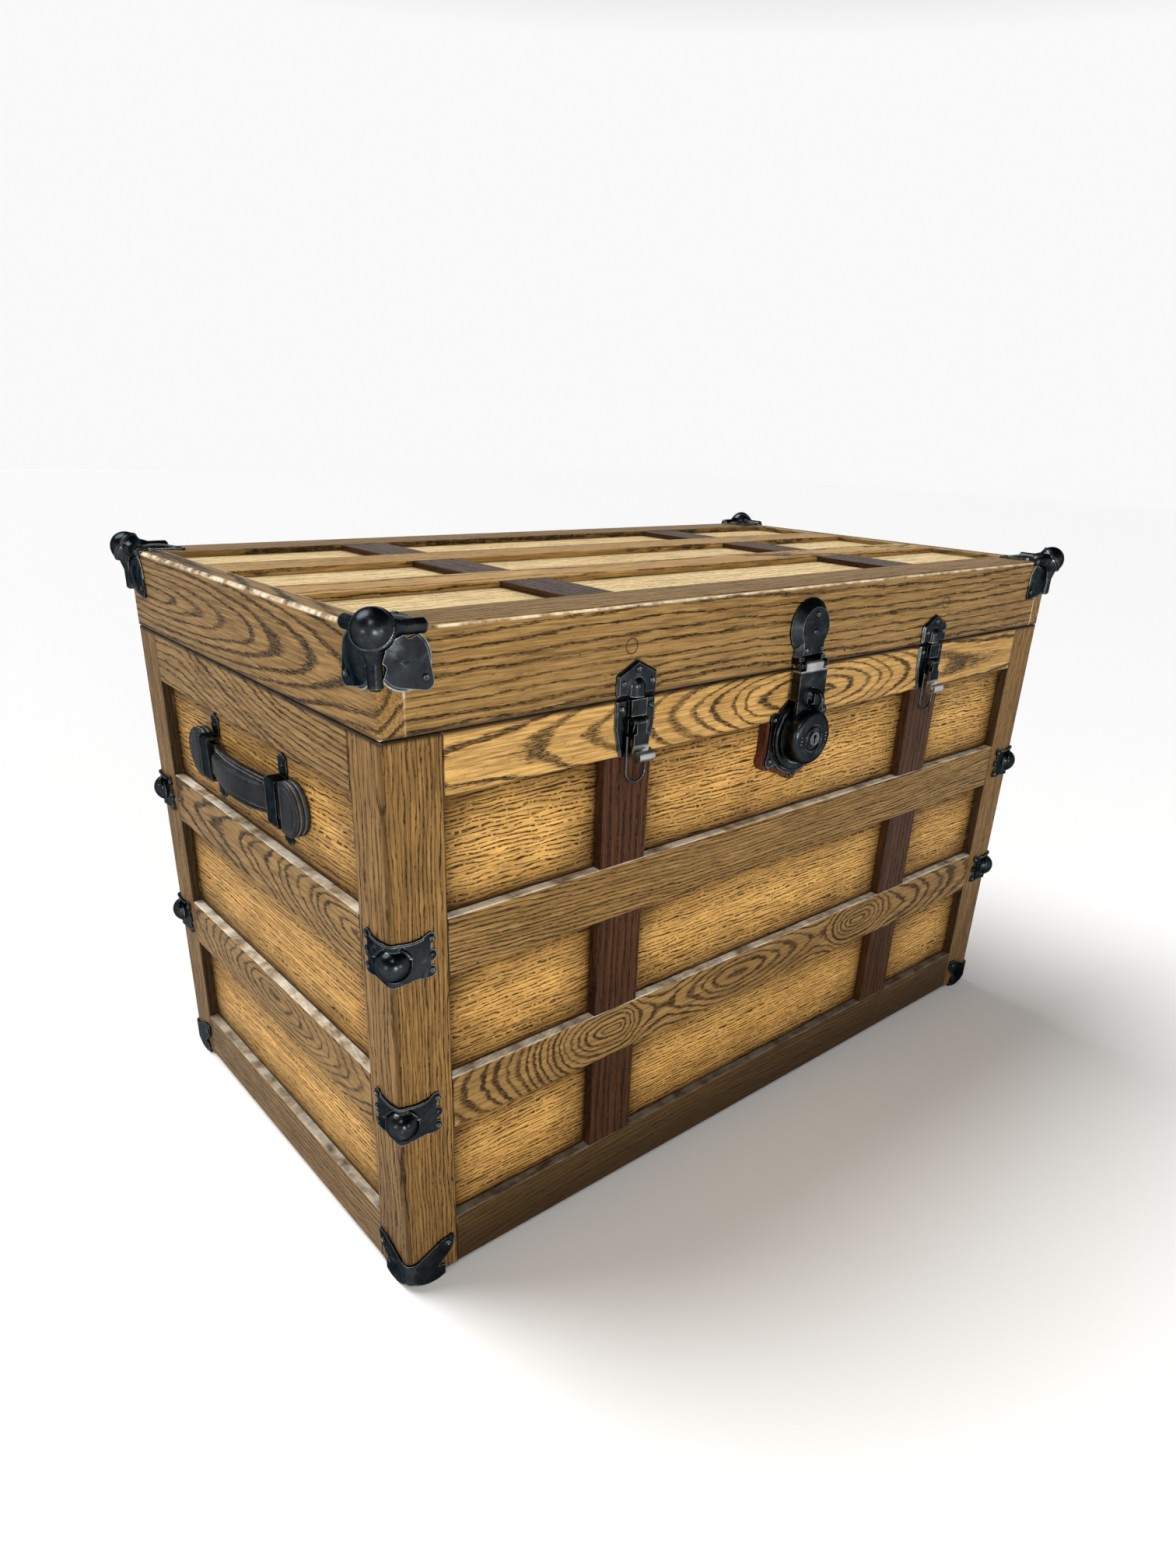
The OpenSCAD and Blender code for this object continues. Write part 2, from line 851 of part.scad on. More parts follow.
module latch_pins() {
    color(bright) at_latches() translate([0, -hd - latch_pin_off, latch_pin_z]) rotate([0, 90, 0])
        cylinder(2 * ear_out, r = latch_pin_r, center = true);
}

// Keeper on the lid: a shield-shaped plate with a hollow dome over the bolt's end
module keeper() {
    dome = 8.5;
    shell = 1.2;
    rise = keeper_z + 8;
    difference() {
        union() {
            on_front() difference() {
                linear_extrude(keeper_t) rounded(keeper_points, keeper_round);
                slope_cut(keeper_points, keeper_round, keeper_t, latch_slope + 0.6);
            }
            translate([0, -hd, keeper_z]) round_top(dome, rise - keeper_z);
        }
        translate([0, -hd, keeper_z - 1]) round_top(dome - shell, rise - keeper_z + 1);
        block([-far, -hd, 0], [far, 0, lid_top]);
    }
}

// Upright post with a half-round top
module round_top(r, straight) {
    rotate_extrude() {
        square([r, straight]);
        intersection() {
            translate([0, straight]) circle(r);
            translate([0, straight - 1]) square([r, r + 1]);
        }
    }
}

module latch_keepers() {
    color(steel) at_latches() keeper();
}

module latch_lever() {
    wide_z = latch_pin_z - latch_knuckle_r - 5.4;
    low_z = latch_pin_z - lever_len;
    lip_r = 5.6;
    module blade(w, low, high) {
        translate([0, -hd - lever_off - lever_t / 2, (low + high) / 2])
            cube([w, lever_t, high - low], center = true);
    }
    difference() {
        union() {
            translate([0, -hd - latch_pin_off, latch_pin_z]) rotate([0, 90, 0])
                cylinder(2 * (ear_in - gap), r = latch_knuckle_r, center = true);
            blade(2 * (ear_in - gap), wide_z - eps, latch_pin_z);
            blade(lever_w, low_z, wide_z);
            front_profile(lever_w) intersection() {
                translate([lever_off + lip_r, low_z]) difference() {
                    circle(lip_r);
                    circle(lip_r - lever_t);
                }
                union() {
                    translate([lever_off, low_z - lip_r]) square([2 * lip_r, lip_r + eps]);
                    translate([lever_off + lip_r, low_z]) square([lip_r, lip_r * 0.7]);
                }
            }
        }
        translate([0, -hd - latch_pin_off, latch_pin_z]) rotate([0, 90, 0])
            cylinder(far, r = latch_pin_r + running, center = true);
    }
}

module left_latch_lever() {
    color(bright) stand() translate([-latch_x, 0, 0]) latch_lever();
}

module right_latch_lever() {
    color(bright) stand() translate([latch_x, 0, 0]) latch_lever();
}

// Flat bolt that slides behind the lever into the keeper's dome
module latch_bolt() {
    t = latch_t - 2 * gap;
    on_front(0, 0, gap) linear_extrude(t) {
        translate([-bolt_w / 2, bolt_z]) square([bolt_w, bolt_len - bolt_w / 2]);
        translate([0, bolt_z + bolt_len - bolt_w / 2]) circle(bolt_w / 2);
    }
}

module left_latch_bolt() {
    color(bright) stand() translate([-latch_x, 0, 0]) latch_bolt();
}

module right_latch_bolt() {
    color(bright) stand() translate([latch_x, 0, 0]) latch_bolt();
}

// Wire bail that hangs from the ears, round the lever
module latch_bail() {
    r = bail_wire / 2;
    leg = bail_w / 2;
    bend_z = bail_z - bail_len + leg;
    translate([0, -hd - bail_off, 0]) {
        both_x() {
            translate([ear_in + gap, 0, bail_z]) rotate([0, 90, 0]) cylinder(leg - ear_in - gap, r = r);
            translate([leg, 0, bail_z]) sphere(r);
            translate([leg, 0, bend_z]) cylinder(bail_z - bend_z, r = r);
        }
        translate([0, 0, bend_z]) rotate([90, 0, 0]) rotate([0, 0, 180])
            rotate_extrude(angle = 180) translate([leg, 0]) circle(r);
    }
}

module left_latch_bail() {
    color(steel) stand() translate([-latch_x, 0, 0]) latch_bail();
}

module right_latch_bail() {
    color(steel) stand() translate([latch_x, 0, 0]) latch_bail();
}

// Lock: a plate with two steps on a wooden backing, under a hasp with a round drum
plate_t = 2.5;
step_reach = [6.5, 8.5];
drum_back = step_reach[1] + 0.5;
hasp_pin_z = case_h + 4.5;
hasp_pin_off = hasp_reach - 4;
hasp_pin_r = 1.8;
hasp_knuckle_r = 4;
hasp_knuckle = 12.5; // half length of the hasp's own knuckle
leaf_knuckle = 19.5; // half length over the leaf's two knuckles
eye_wire_r = 2.4;
eye_r = 8;
eye_z = lock_z + 38;

// Four screw ears round a circle, with a small point below
module bat_outline(grow) {
    middle_r = 20;
    ear_r = 6.5; // round tips at the sides
    upper_ear = [36, 19];
    lower_ear = [38, -22];
    web_r = 4.5; // half width of the side between two tips
    toe_r = 5;
    translate([0, lock_z]) {
        circle(ring_r + 4 + grow);
        for (side = [0, 1]) mirror([side, 0]) {
            link([0, 0], middle_r, upper_ear, ear_r + grow);
            link([0, 0], middle_r, lower_ear, ear_r + grow);
            link(upper_ear, web_r + grow, lower_ear, web_r + grow);
        }
        link([0, 0], middle_r, [0, -ring_r - 3], toe_r + grow);
    }
}

module lock_backing() {
    color(backing) stand() on_front(0, 0, -frame_t) linear_extrude(frame_t) intersection() {
        bat_outline(4);
        translate([-far, 0]) square([2 * far, top_rail_z]);
    }
}

module lock_plate() {
    color(steel) stand() {
        on_front() linear_extrude(plate_t) bat_outline(0);
        on_front(0, lock_z, 1) rotate_extrude($fn = 72) {
            square([ring_r - 2, step_reach[0] - 1]);
            square([ring_r, step_reach[0] - 3]);
            translate([ring_r - 2, step_reach[0] - 3]) circle(2);
            square([drum_r + 1.5, step_reach[1] - 1]);
        }
    }
}

module round_front(r, z, low, high, edge) {
    on_front(0, z, low) rotate_extrude($fn = 72) {
        square([r, high - low - edge]);
        square([r - edge, high - low]);
        intersection() {
            translate([r - edge, high - low - edge]) circle(edge);
            square([r, high - low]);
        }
    }
}

// Round leaf on the lid with sloping sides, and a neck down to its two knuckles
module lock_leaf() {
    face = 10;
    rim = 2; // upright part of the sides
    slope = 7.5;
    neck = 18.5;
    leaf_z = hasp_pin_z + 34;
    knuckle_back = hasp_pin_off - hasp_knuckle_r - gap;
    clear_z = hasp_pin_z + hasp_knuckle_r + 0.5;
    color(steel) stand() difference() {
        union() {
            on_front(0, leaf_z) {
                cylinder(rim, r = lock_leaf_r);
                translate([0, 0, rim]) cylinder(face - rim, r1 = lock_leaf_r, r2 = lock_leaf_r - slope);
            }
            intersection() {
                translate([0, -hd, keeper_z]) linear_extrude(leaf_z - keeper_z) mirror([0, 1]) polygon([
                    [-neck, 0], [neck, 0], [neck, rim],
                    [neck - slope / 2, face], [slope / 2 - neck, face], [-neck, rim]
                ]);
                front_profile(far) polygon([
                    [0, keeper_z], [knuckle_back, keeper_z], [knuckle_back, clear_z], [face, clear_z + 5],
                    [face, leaf_z], [0, leaf_z]
                ]);
            }
            for (side = [-1, 1]) translate([side * (leaf_knuckle + hasp_knuckle + gap) / 2, 0, 0]) {
                translate([0, -hd - hasp_pin_off, hasp_pin_z]) rotate([0, 90, 0])
                    cylinder(leaf_knuckle - hasp_knuckle - gap, r = hasp_knuckle_r, center = true);
                front_profile(leaf_knuckle - hasp_knuckle - gap) polygon([
                    [0, hasp_pin_z], [hasp_pin_off, hasp_pin_z],
                    [hasp_pin_off - 0.1, clear_z + 3], [0, clear_z + 3]
                ]);
            }
        }
        translate([0, -hd - hasp_pin_off, hasp_pin_z]) rotate([0, 90, 0])
            cylinder(far, r = hasp_pin_r + running, center = true);
    }
}

module hasp_pin() {
    color(bright) stand() translate([0, -hd - hasp_pin_off, hasp_pin_z]) rotate([0, 90, 0])
        cylinder(2 * leaf_knuckle, r = hasp_pin_r, center = true);
}

module hasp() {
    wide_z = hasp_pin_z - hasp_knuckle_r - 0.7;
    flange_z = lock_z + ring_r + 1.5;
    slot = [10, 2 * (eye_r - eye_wire_r)];
    back = hasp_reach - hasp_t;
    module plate(w, low, high, from) {
        translate([-w / 2, -hd - hasp_reach, low]) cube([w, hasp_reach - from, high - low]);
    }
    color(steel) stand() difference() {
        union() {
            translate([0, -hd - hasp_pin_off, hasp_pin_z]) rotate([0, 90, 0])
                cylinder(2 * hasp_knuckle, r = hasp_knuckle_r, center = true);
            plate(2 * hasp_knuckle, wide_z - eps, hasp_pin_z, back);
            plate(hasp_w, lock_z, wide_z, back);
            both_x() translate([hasp_w / 2 - hasp_t / 2, 0, 0]) plate(hasp_t, flange_z, wide_z, plate_t + 1);
            round_front(drum_r, lock_z, drum_back, drum_reach, 6);
            on_front(0, lock_z, drum_reach - eps) rotate_extrude() translate([plug_r + 5, 0]) circle(1.6);
        }
        translate([0, -hd - hasp_pin_off, hasp_pin_z]) rotate([0, 90, 0])
            cylinder(far, r = hasp_pin_r + running, center = true);
        on_front(0, eye_z, 0) translate([-slot[0] / 2, -slot[1] / 2, 0]) cube([slot[0], slot[1], far]);
        for (side = [-1, 1]) on_front(0, eye_z + side * eye_r, 0) cylinder(far, r = eye_wire_r + running);
        on_front(0, lock_z, drum_reach - 8) cylinder(far, r = plug_r + running);
    }
}

// Padlock eye riveted through the hasp over its slot
module hasp_eye() {
    legs = eye_reach - eye_wire_r - eye_r - (hasp_reach - hasp_t);
    color(bright) stand() translate([0, -hd - hasp_reach + hasp_t, eye_z]) {
        for (side = [-1, 1]) translate([0, 0, side * eye_r]) rotate([90, 0, 0]) cylinder(legs, r = eye_wire_r);
        translate([0, -legs, 0]) rotate([0, -90, 0]) rotate([0, 0, 180])
            rotate_extrude(angle = 180) translate([eye_r, 0]) circle(eye_wire_r);
    }
}

// Key plug that turns in the drum
module key_plug() {
    low = drum_reach - 8 + gap;
    color(bright) stand() on_front(0, lock_z, low) difference() {
        cylinder(drum_reach + 1.2 - low, r = plug_r);
        translate([0, 0, drum_reach - low - 3]) linear_extrude(far) {
            translate([0, 2.2]) circle(2.4);
            translate([-1.2, -5]) square([2.4, 7]);
        }
    }
}

// Handles: a leather strap with a padded grip, held by two loops on each end panel
strap_off = 4;
grip_bow = 8;
bow_half = (loop_gap - loop_w) / 2 - 2; // the strap is straight beyond, in the loops
bow_r = (pow(bow_half, 2) + pow(grip_bow, 2)) / (2 * grip_bow);
bow_mid = strap_off + grip_bow - bow_r; // centre of the strap's bow, off the panel

module loop_outline() {
    rise = loop_h / 2;
    translate([-7, rise - loop_t]) square([14, 7]);
    translate([0, rise + 8]) circle(8.5);
    for (x = [-5.5, 5.5]) translate([x, rise + 15]) circle(3);
    translate([0, rise + 17.5]) circle(3.6);
}

module handle_loop() {
    rise = loop_h / 2;
    edge = 3;
    linear_extrude(loop_t) {
        loop_outline();
        mirror([0, 1]) loop_outline();
    }
    rotate([90, 0, 90]) linear_extrude(loop_w, center = true) difference() {
        intersection() {
            translate([-rise, 0]) square([loop_h, loop_reach]);
            union() {
                translate([-rise, -edge]) square([loop_h, loop_reach]);
                translate([edge - rise, 0]) square([loop_h - 2 * edge, loop_reach]);
                for (y = [-1, 1]) translate([y * (rise - edge), loop_reach - edge]) circle(edge);
            }
        }
        translate([loop_t - rise, -1]) square([loop_h - 2 * loop_t, loop_reach - loop_t + 1]);
    }
}

module handle_loops() {
    color(steel) stand() for (side = [-1, 1])
        on_left(handle_y + side * loop_gap / 2, handle_z, panel_x) handle_loop();
}

module left_handle_loops() {
    handle_loops();
}

module right_handle_loops() {
    mirror([1, 0, 0]) handle_loops();
}

// Section of the grip: a flat strap with a rounded pad on its outer side
module grip_section() {
    pad = grip_h / 2 - 7;
    translate([bow_r, -grip_h / 2]) square([strap_t, grip_h]);
    translate([bow_r, 0]) intersection() {
        translate([strap_t + 7 - 20, 0]) circle(20, $fn = 64);
        translate([0, -pad]) square([far, 2 * pad]);
    }
}

module bowed(span) {
    turn = asin(span / 2 / bow_r);
    translate([0, 0, bow_mid]) rotate([90, 0, 0]) rotate([0, 0, 90 - turn])
        rotate_extrude(angle = 2 * turn, $fn = 360) children();
}

module strap_end() {
    inner = (loop_gap + loop_w) / 2 + 0.6;
    middle = inner + 12;
    rib = [1, 5.2, 9.4];
    intersection() {
        union() {
            for (low = rib) translate([middle, 0, low]) linear_extrude(3.4) rounded_disc();
            translate([middle, 0, rib[0]]) cylinder(rib[2] - rib[0], r = button_r - 1.6);
        }
        translate([inner, -far, 0]) cube(2 * far);
    }
    translate([bow_half - 2, -strap_h / 2 + 0.1, strap_off])
        cube([inner - bow_half + 3, strap_h - 0.2, strap_t - 0.4]);
}

module rounded_disc() {
    circle(button_r);
}

module handle() {
    grip = 2 * bow_half - 4;
    belly = 500; // radius of the grip's upper and lower edges
    color(leather) stand() on_left(handle_y, handle_z, panel_x) {
        intersection() {
            bowed(grip) grip_section();
            linear_extrude(far) intersection() {
                translate([0, belly - grip_h / 2]) circle(belly, $fn = 360);
                translate([0, grip_h / 2 - belly]) circle(belly, $fn = 360);
            }
        }
        bowed(2 * bow_half + 1) translate([bow_r + 0.4, -strap_h / 2]) square([strap_t - 0.7, strap_h]);
        both_x() strap_end();
    }
}

module left_handle() {
    handle();
}

module right_handle() {
    mirror([1, 0, 0]) handle();
}

bottom_board();
front_panel();
back_panel();
left_panel();
right_panel();
front_left_post();
front_right_post();
back_left_post();
back_right_post();
front_top_rail();
back_top_rail();
left_top_rail();
right_top_rail();
front_bottom_rail();
back_bottom_rail();
left_bottom_rail();
right_bottom_rail();
front_slats();
back_slats();
left_slats();
right_slats();
front_walnut_strips();
back_walnut_strips();
bottom_corners();
slat_clamps();
lid_front_board();
lid_back_board();
lid_left_board();
lid_right_board();
lid_panel();
lid_front_rail();
lid_back_rail();
lid_slats();
lid_walnut_strips();
ball_corners();
hinge_case_leaves();
hinge_lid_leaves();
hinge_pins();
latch_plates();
latch_pins();
latch_keepers();
left_latch_lever();
right_latch_lever();
left_latch_bolt();
right_latch_bolt();
left_latch_bail();
right_latch_bail();
lock_backing();
lock_plate();
lock_leaf();
hasp_pin();
hasp();
hasp_eye();
key_plug();
left_handle_loops();
right_handle_loops();
left_handle();
right_handle();
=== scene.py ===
import math

import bpy
from mathutils import Matrix, Vector


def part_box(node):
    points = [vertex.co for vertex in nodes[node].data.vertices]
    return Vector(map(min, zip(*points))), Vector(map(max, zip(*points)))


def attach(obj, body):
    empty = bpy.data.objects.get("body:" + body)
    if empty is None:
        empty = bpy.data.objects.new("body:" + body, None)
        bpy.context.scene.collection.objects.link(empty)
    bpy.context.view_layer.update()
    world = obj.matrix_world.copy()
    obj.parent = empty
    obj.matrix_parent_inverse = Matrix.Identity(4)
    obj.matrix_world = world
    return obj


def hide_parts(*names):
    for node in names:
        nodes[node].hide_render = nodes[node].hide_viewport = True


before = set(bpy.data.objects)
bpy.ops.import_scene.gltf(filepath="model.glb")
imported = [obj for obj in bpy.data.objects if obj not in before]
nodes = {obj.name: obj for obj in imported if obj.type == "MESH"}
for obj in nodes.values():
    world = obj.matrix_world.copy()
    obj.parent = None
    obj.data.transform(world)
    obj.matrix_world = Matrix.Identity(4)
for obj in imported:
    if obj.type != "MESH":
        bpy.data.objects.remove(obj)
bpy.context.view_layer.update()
print("trunk frame loaded")

halfLong = 0.457
halfDeep = 0.2515
woodShift = 0.007075  # the wood's middle sits this far behind the origin
frontFace = woodShift - halfDeep
backFace = woodShift + halfDeep
lidTop = 0.585


# shader helpers

# inputs with no value are vectors
def newGroup(name, inputs, outputs):
    group = bpy.data.node_groups.new(name, "ShaderNodeTree")
    for label, value in inputs.items():
        kind = "NodeSocketVector" if value is None else "NodeSocketFloat"
        socket = group.interface.new_socket(label, in_out="INPUT", socket_type=kind)
        if value is not None:
            socket.default_value = value
    for label in outputs:
        group.interface.new_socket(label, in_out="OUTPUT", socket_type="NodeSocketFloat")
    return group, group.nodes.new("NodeGroupInput").outputs, group.nodes.new("NodeGroupOutput").inputs


def addNode(tree, kind, **settings):
    node = tree.nodes.new("ShaderNode" + kind)
    for key, value in settings.items():
        setattr(node, key, value)
    return node


def plug(tree, value, socket):
    if isinstance(value, bpy.types.NodeSocket):
        tree.links.new(value, socket)
    else:
        socket.default_value = value


def calc(tree, operation, a, b=None, clamp=False):
    node = addNode(tree, "Math", operation=operation, use_clamp=clamp)
    for value, socket in zip((a, b), node.inputs):
        if value is not None:
            plug(tree, value, socket)
    return node.outputs[0]


def times(tree, a, b, clamp=False):
    return calc(tree, "MULTIPLY", a, b, clamp=clamp)


def plus(tree, a, b):
    return calc(tree, "ADD", a, b)


def minus(tree, a, b, clamp=False):
    return calc(tree, "SUBTRACT", a, b, clamp=clamp)


def vectorCalc(tree, operation, a, b=None):
    node = addNode(tree, "VectorMath", operation=operation)
    plug(tree, a, node.inputs[0])
    if b is not None:
        plug(tree, b, node.inputs[1])
    return node.outputs["Value"] if operation == "DOT_PRODUCT" else node.outputs["Vector"]


def splitVector(tree, vector):
    node = addNode(tree, "SeparateXYZ")
    plug(tree, vector, node.inputs[0])
    return node.outputs


def joinVector(tree, x, y, z):
    node = addNode(tree, "CombineXYZ")
    for value, socket in zip((x, y, z), node.inputs):
        plug(tree, value, socket)
    return node.outputs[0]


# Normal and Object are the object's own, so that nothing changes as the lid turns
def texCoord(tree, label):
    return addNode(tree, "TexCoord").outputs[label]


# stretch is one scale, or one for each axis
def noise(tree, vector, stretch, detail=2.0, rough=0.5, warp=0.0):
    node = addNode(tree, "TexNoise")
    if isinstance(stretch, float):
        stretch = (stretch, stretch, stretch)
    plug(tree, vectorCalc(tree, "MULTIPLY", vector, stretch), node.inputs["Vector"])
    node.inputs["Scale"].default_value = 1.0
    node.inputs["Detail"].default_value = detail
    node.inputs["Roughness"].default_value = rough
    node.inputs["Distortion"].default_value = warp
    return node.outputs["Fac"]


def ramp(tree, value, stops, interpolation="LINEAR"):
    node = addNode(tree, "ValToRGB")
    scale = node.color_ramp
    scale.interpolation = interpolation
    scale.elements[0].position, scale.elements[1].position = stops[0][0], stops[-1][0]
    for place, level in stops[1:-1]:
        scale.elements.new(place)
    for element, (place, level) in zip(scale.elements, stops):
        element.color = (level, level, level, 1) if isinstance(level, (int, float)) else (*level, 1)
    plug(tree, value, node.inputs["Fac"])
    return node.outputs["Color"]


def mixColour(tree, factor, a, b, mode="MIX"):
    node = addNode(tree, "Mix", data_type="RGBA", blend_type=mode)
    plug(tree, factor, node.inputs[0])
    for colour, socket in ((a, node.inputs[6]), (b, node.inputs[7])):
        plug(tree, colour if isinstance(colour, bpy.types.NodeSocket) else (*colour, 1), socket)
    return node.outputs[2]


def rescale(tree, value, low, high, newLow=0.0, newHigh=1.0, smooth=False):
    node = addNode(tree, "MapRange", interpolation_type="SMOOTHSTEP" if smooth else "LINEAR")
    labels = ("Value", "From Min", "From Max", "To Min", "To Max")
    for label, number in zip(labels, (value, low, high, newLow, newHigh)):
        plug(tree, number, node.inputs[label])
    return node.outputs["Result"]


def addBump(tree, shader, height, strength, distance):
    bump = addNode(tree, "Bump")
    bump.inputs["Strength"].default_value = strength
    bump.inputs["Distance"].default_value = distance
    plug(tree, height, bump.inputs["Height"])
    plug(tree, bump.outputs[0], shader.inputs["Normal"])


def blend(tree, choice, a, b):
    return plus(tree, a, times(tree, choice, minus(tree, b, a)))


# shared effects

# Board's x runs along the grain; Across and Depth say how far the tree's heart lies away
def oakGrainGroup():
    tree, given, out = newGroup("oakGrain", {
        "Board": None, "Across": 0.0, "Depth": 0.03, "Seed": 0.0, "Ring Spacing": 0.006, "Band Width": 0.4,
        "Broken": 0.2, "Wander": 0.003, "Pore Size": 1.0, "Ripple": 0.0026, "Dash Rate": 150.0,
    }, ["Band", "Pore", "Tone", "Fibre"])
    seed = given["Seed"]
    shift = joinVector(tree, times(tree, seed, 1.37), times(tree, seed, 0.71), seed)
    own = vectorCalc(tree, "ADD", given["Board"], shift)
    x = splitVector(tree, given["Board"])[0]
    slow = minus(tree, noise(tree, own, (6.0, 24.0, 24.0), 2.0), 0.5)
    quick = minus(tree, noise(tree, own, (48.0, 150.0, 150.0), 1.0), 0.5)
    radius = calc(tree, "SQRT", plus(tree, calc(tree, "POWER", given["Across"], 2.0),
                                     calc(tree, "POWER", given["Depth"], 2.0)))
    radius = plus(tree, radius, times(tree, slow, times(tree, given["Wander"], 4.0)))
    radius = plus(tree, radius, times(tree, quick, given["Ripple"]))
    rings = calc(tree, "DIVIDE", radius, given["Ring Spacing"])
    years = noise(tree, joinVector(tree, rings, seed, 0.0), (0.8, 1.0, 1.0), 1.0)
    rings = plus(tree, rings, years)
    ring = calc(tree, "FLOOR", rings)
    streak = minus(tree, noise(tree, own, (60.0, 1100.0, 1100.0), 1.0), 0.5)
    width = given["Band Width"]
    place = calc(tree, "DIVIDE", calc(tree, "FRACT", plus(tree, rings, times(tree, streak, 0.42))), width)
    fadeIn = rescale(tree, place, 0.0, 0.2, smooth=True)
    band = times(tree, fadeIn, rescale(tree, place, 0.55, 1.0, 1.0, 0.0, smooth=True))
    beat = joinVector(tree, plus(tree, times(tree, x, given["Dash Rate"]), times(tree, ring, 3.7)),
                      times(tree, ring, 5.1), seed)
    dash = rescale(tree, noise(tree, beat, 1.0, 1.0), 0.36, 0.46, smooth=True)
    band = times(tree, band, blend(tree, given["Broken"], 1.0, dash))
    strokes = noise(tree, own, (40.0, 720.0, 720.0), 2.0, 0.6)
    band = times(tree, band, rescale(tree, strokes, 0.34, 0.54, 0.62, 1.0))
    weight = noise(tree, joinVector(tree, ring, seed, times(tree, x, 9.0)), (2.3, 1.0, 1.0), 0.0)
    band = times(tree, band, rescale(tree, weight, 0.3, 0.58, 0.72, 1.0))
    size = given["Pore Size"]
    sized = vectorCalc(tree, "MULTIPLY", own, joinVector(tree, size, size, size))
    specks = noise(tree, sized, (230.0, 1500.0, 1500.0), 1.0, 0.4)
    pore = times(tree, minus(tree, specks, rescale(tree, band, 0.0, 1.0, 0.69, 0.43)), 8.0, clamp=True)
    tone = noise(tree, own, (4.0, 18.0, 18.0), 3.0)
    tone = plus(tree, times(tree, tone, 0.7),
                times(tree, noise(tree, joinVector(tree, ring, seed, x), (1.7, 1.0, 2.0), 0.0), 0.3))
    plug(tree, band, out["Band"])
    plug(tree, pore, out["Pore"])
    plug(tree, tone, out["Tone"])
    plug(tree, noise(tree, own, (24.0, 600.0, 600.0), 3.0, 0.65), out["Fibre"])
    return tree


# worn where a rounded copy of the surface would turn away from the real one; on steel and leather partly a
# painted edge highlight
def edgeWearGroup():
    tree, given, out = newGroup("edgeWear", {"Width": 0.003, "Cover": 0.5, "Grain": 60.0}, ["Mask"])
    bevel = addNode(tree, "Bevel", samples=6)
    plug(tree, given["Width"], bevel.inputs["Radius"])
    geometry = addNode(tree, "NewGeometry")
    turn = minus(tree, 1.0, vectorCalc(tree, "DOT_PRODUCT", bevel.outputs[0], geometry.outputs["Normal"]))
    coords = texCoord(tree, "Object")
    size = given["Grain"]
    scaled = vectorCalc(tree, "MULTIPLY", coords, joinVector(tree, size, size, size))
    patchy = noise(tree, scaled, 1.0, 4.0, 0.65)
    edge = rescale(tree, turn, 0.015, 0.16)
    half = times(tree, given["Cover"], 0.5)
    keep = rescale(tree, patchy, minus(tree, 0.72, half), minus(tree, 0.92, half))
    plug(tree, times(tree, edge, keep, clamp=True), out["Mask"])
    return tree


# wormholes, nicks and short dark scratches, thinly spread
def dentsGroup():
    tree, given, out = newGroup("dents", {"Seed": 0.0, "Amount": 1.0}, ["Mask"])
    coords = texCoord(tree, "Object")
    own = vectorCalc(tree, "ADD", coords, joinVector(tree, given["Seed"], given["Seed"], given["Seed"]))
    stray = joinVector(tree, noise(tree, own, 300.0, 1.0), noise(tree, own, 260.0, 1.0), 0.5)
    bent = vectorCalc(tree, "ADD", own, vectorCalc(tree, "MULTIPLY", stray, (0.004, 0.004, 0.004)))
    cells = addNode(tree, "TexVoronoi")
    plug(tree, bent, cells.inputs["Vector"])
    cells.inputs["Scale"].default_value = 24.0
    spot = calc(tree, "LESS_THAN", cells.outputs["Distance"], 0.04)
    spot = times(tree, spot, calc(tree, "GREATER_THAN", splitVector(tree, cells.outputs["Color"])[0], 0.6))
    nick = rescale(tree, noise(tree, own, (90.0, 90.0, 150.0), 3.0, 0.6), 0.735, 0.77)
    plug(tree, times(tree, calc(tree, "MAXIMUM", spot, nick), given["Amount"], clamp=True), out["Mask"])
    return tree


oakGrain = oakGrainGroup()
edgeWear = edgeWearGroup()
dents = dentsGroup()


def useGroup(tree, group, **values):
    node = tree.nodes.new("ShaderNodeGroup")
    node.node_tree = group
    for label, value in values.items():
        plug(tree, value, node.inputs[label.replace("_", " ")])
    return node.outputs


def newMaterial(name, **constants):
    material = bpy.data.materials.new(name)
    material.use_nodes = True
    tree = material.node_tree
    shader = tree.nodes["Principled BSDF"]
    for label, value in constants.items():
        shader.inputs[label.replace("_", " ")].default_value = value
    return material, tree, shader


axisPick = {"x": 0, "y": 1, "z": 2}


# how far a point lies inside the nearest of a row of cells
def cellDistance(tree, value, cells):
    best = None
    for low, high in cells:
        away = calc(tree, "ABSOLUTE", minus(tree, value, (low + high) / 2))
        inside = minus(tree, (high - low) / 2, away)
        best = inside if best is None else calc(tree, "MAXIMUM", best, inside)
    return best


# the depth of the heart below the face, along the board
def depthProfile(tree, x, points):
    low, high, deepest = points[0][0], points[-1][0], max(depth for place, depth in points)
    stops = [((place - low) / (high - low), depth / deepest) for place, depth in points]
    return times(tree, ramp(tree, rescale(tree, x, low, high), stops, "CARDINAL"), deepest)


# one value a board, chosen by the mask where a node holds two boards
def boardValue(tree, mask, boards, key):
    first, last = boards[0][key], boards[-1][key]
    return first if first == last else blend(tree, mask, first, last)


# a line where a value comes near a place, fading out from inner to outer
def lineMask(tree, value, place, inner, outer, strength, smooth=False):
    away = calc(tree, "ABSOLUTE", minus(tree, value, place))
    return rescale(tree, away, inner, outer, strength, 0.0, smooth)


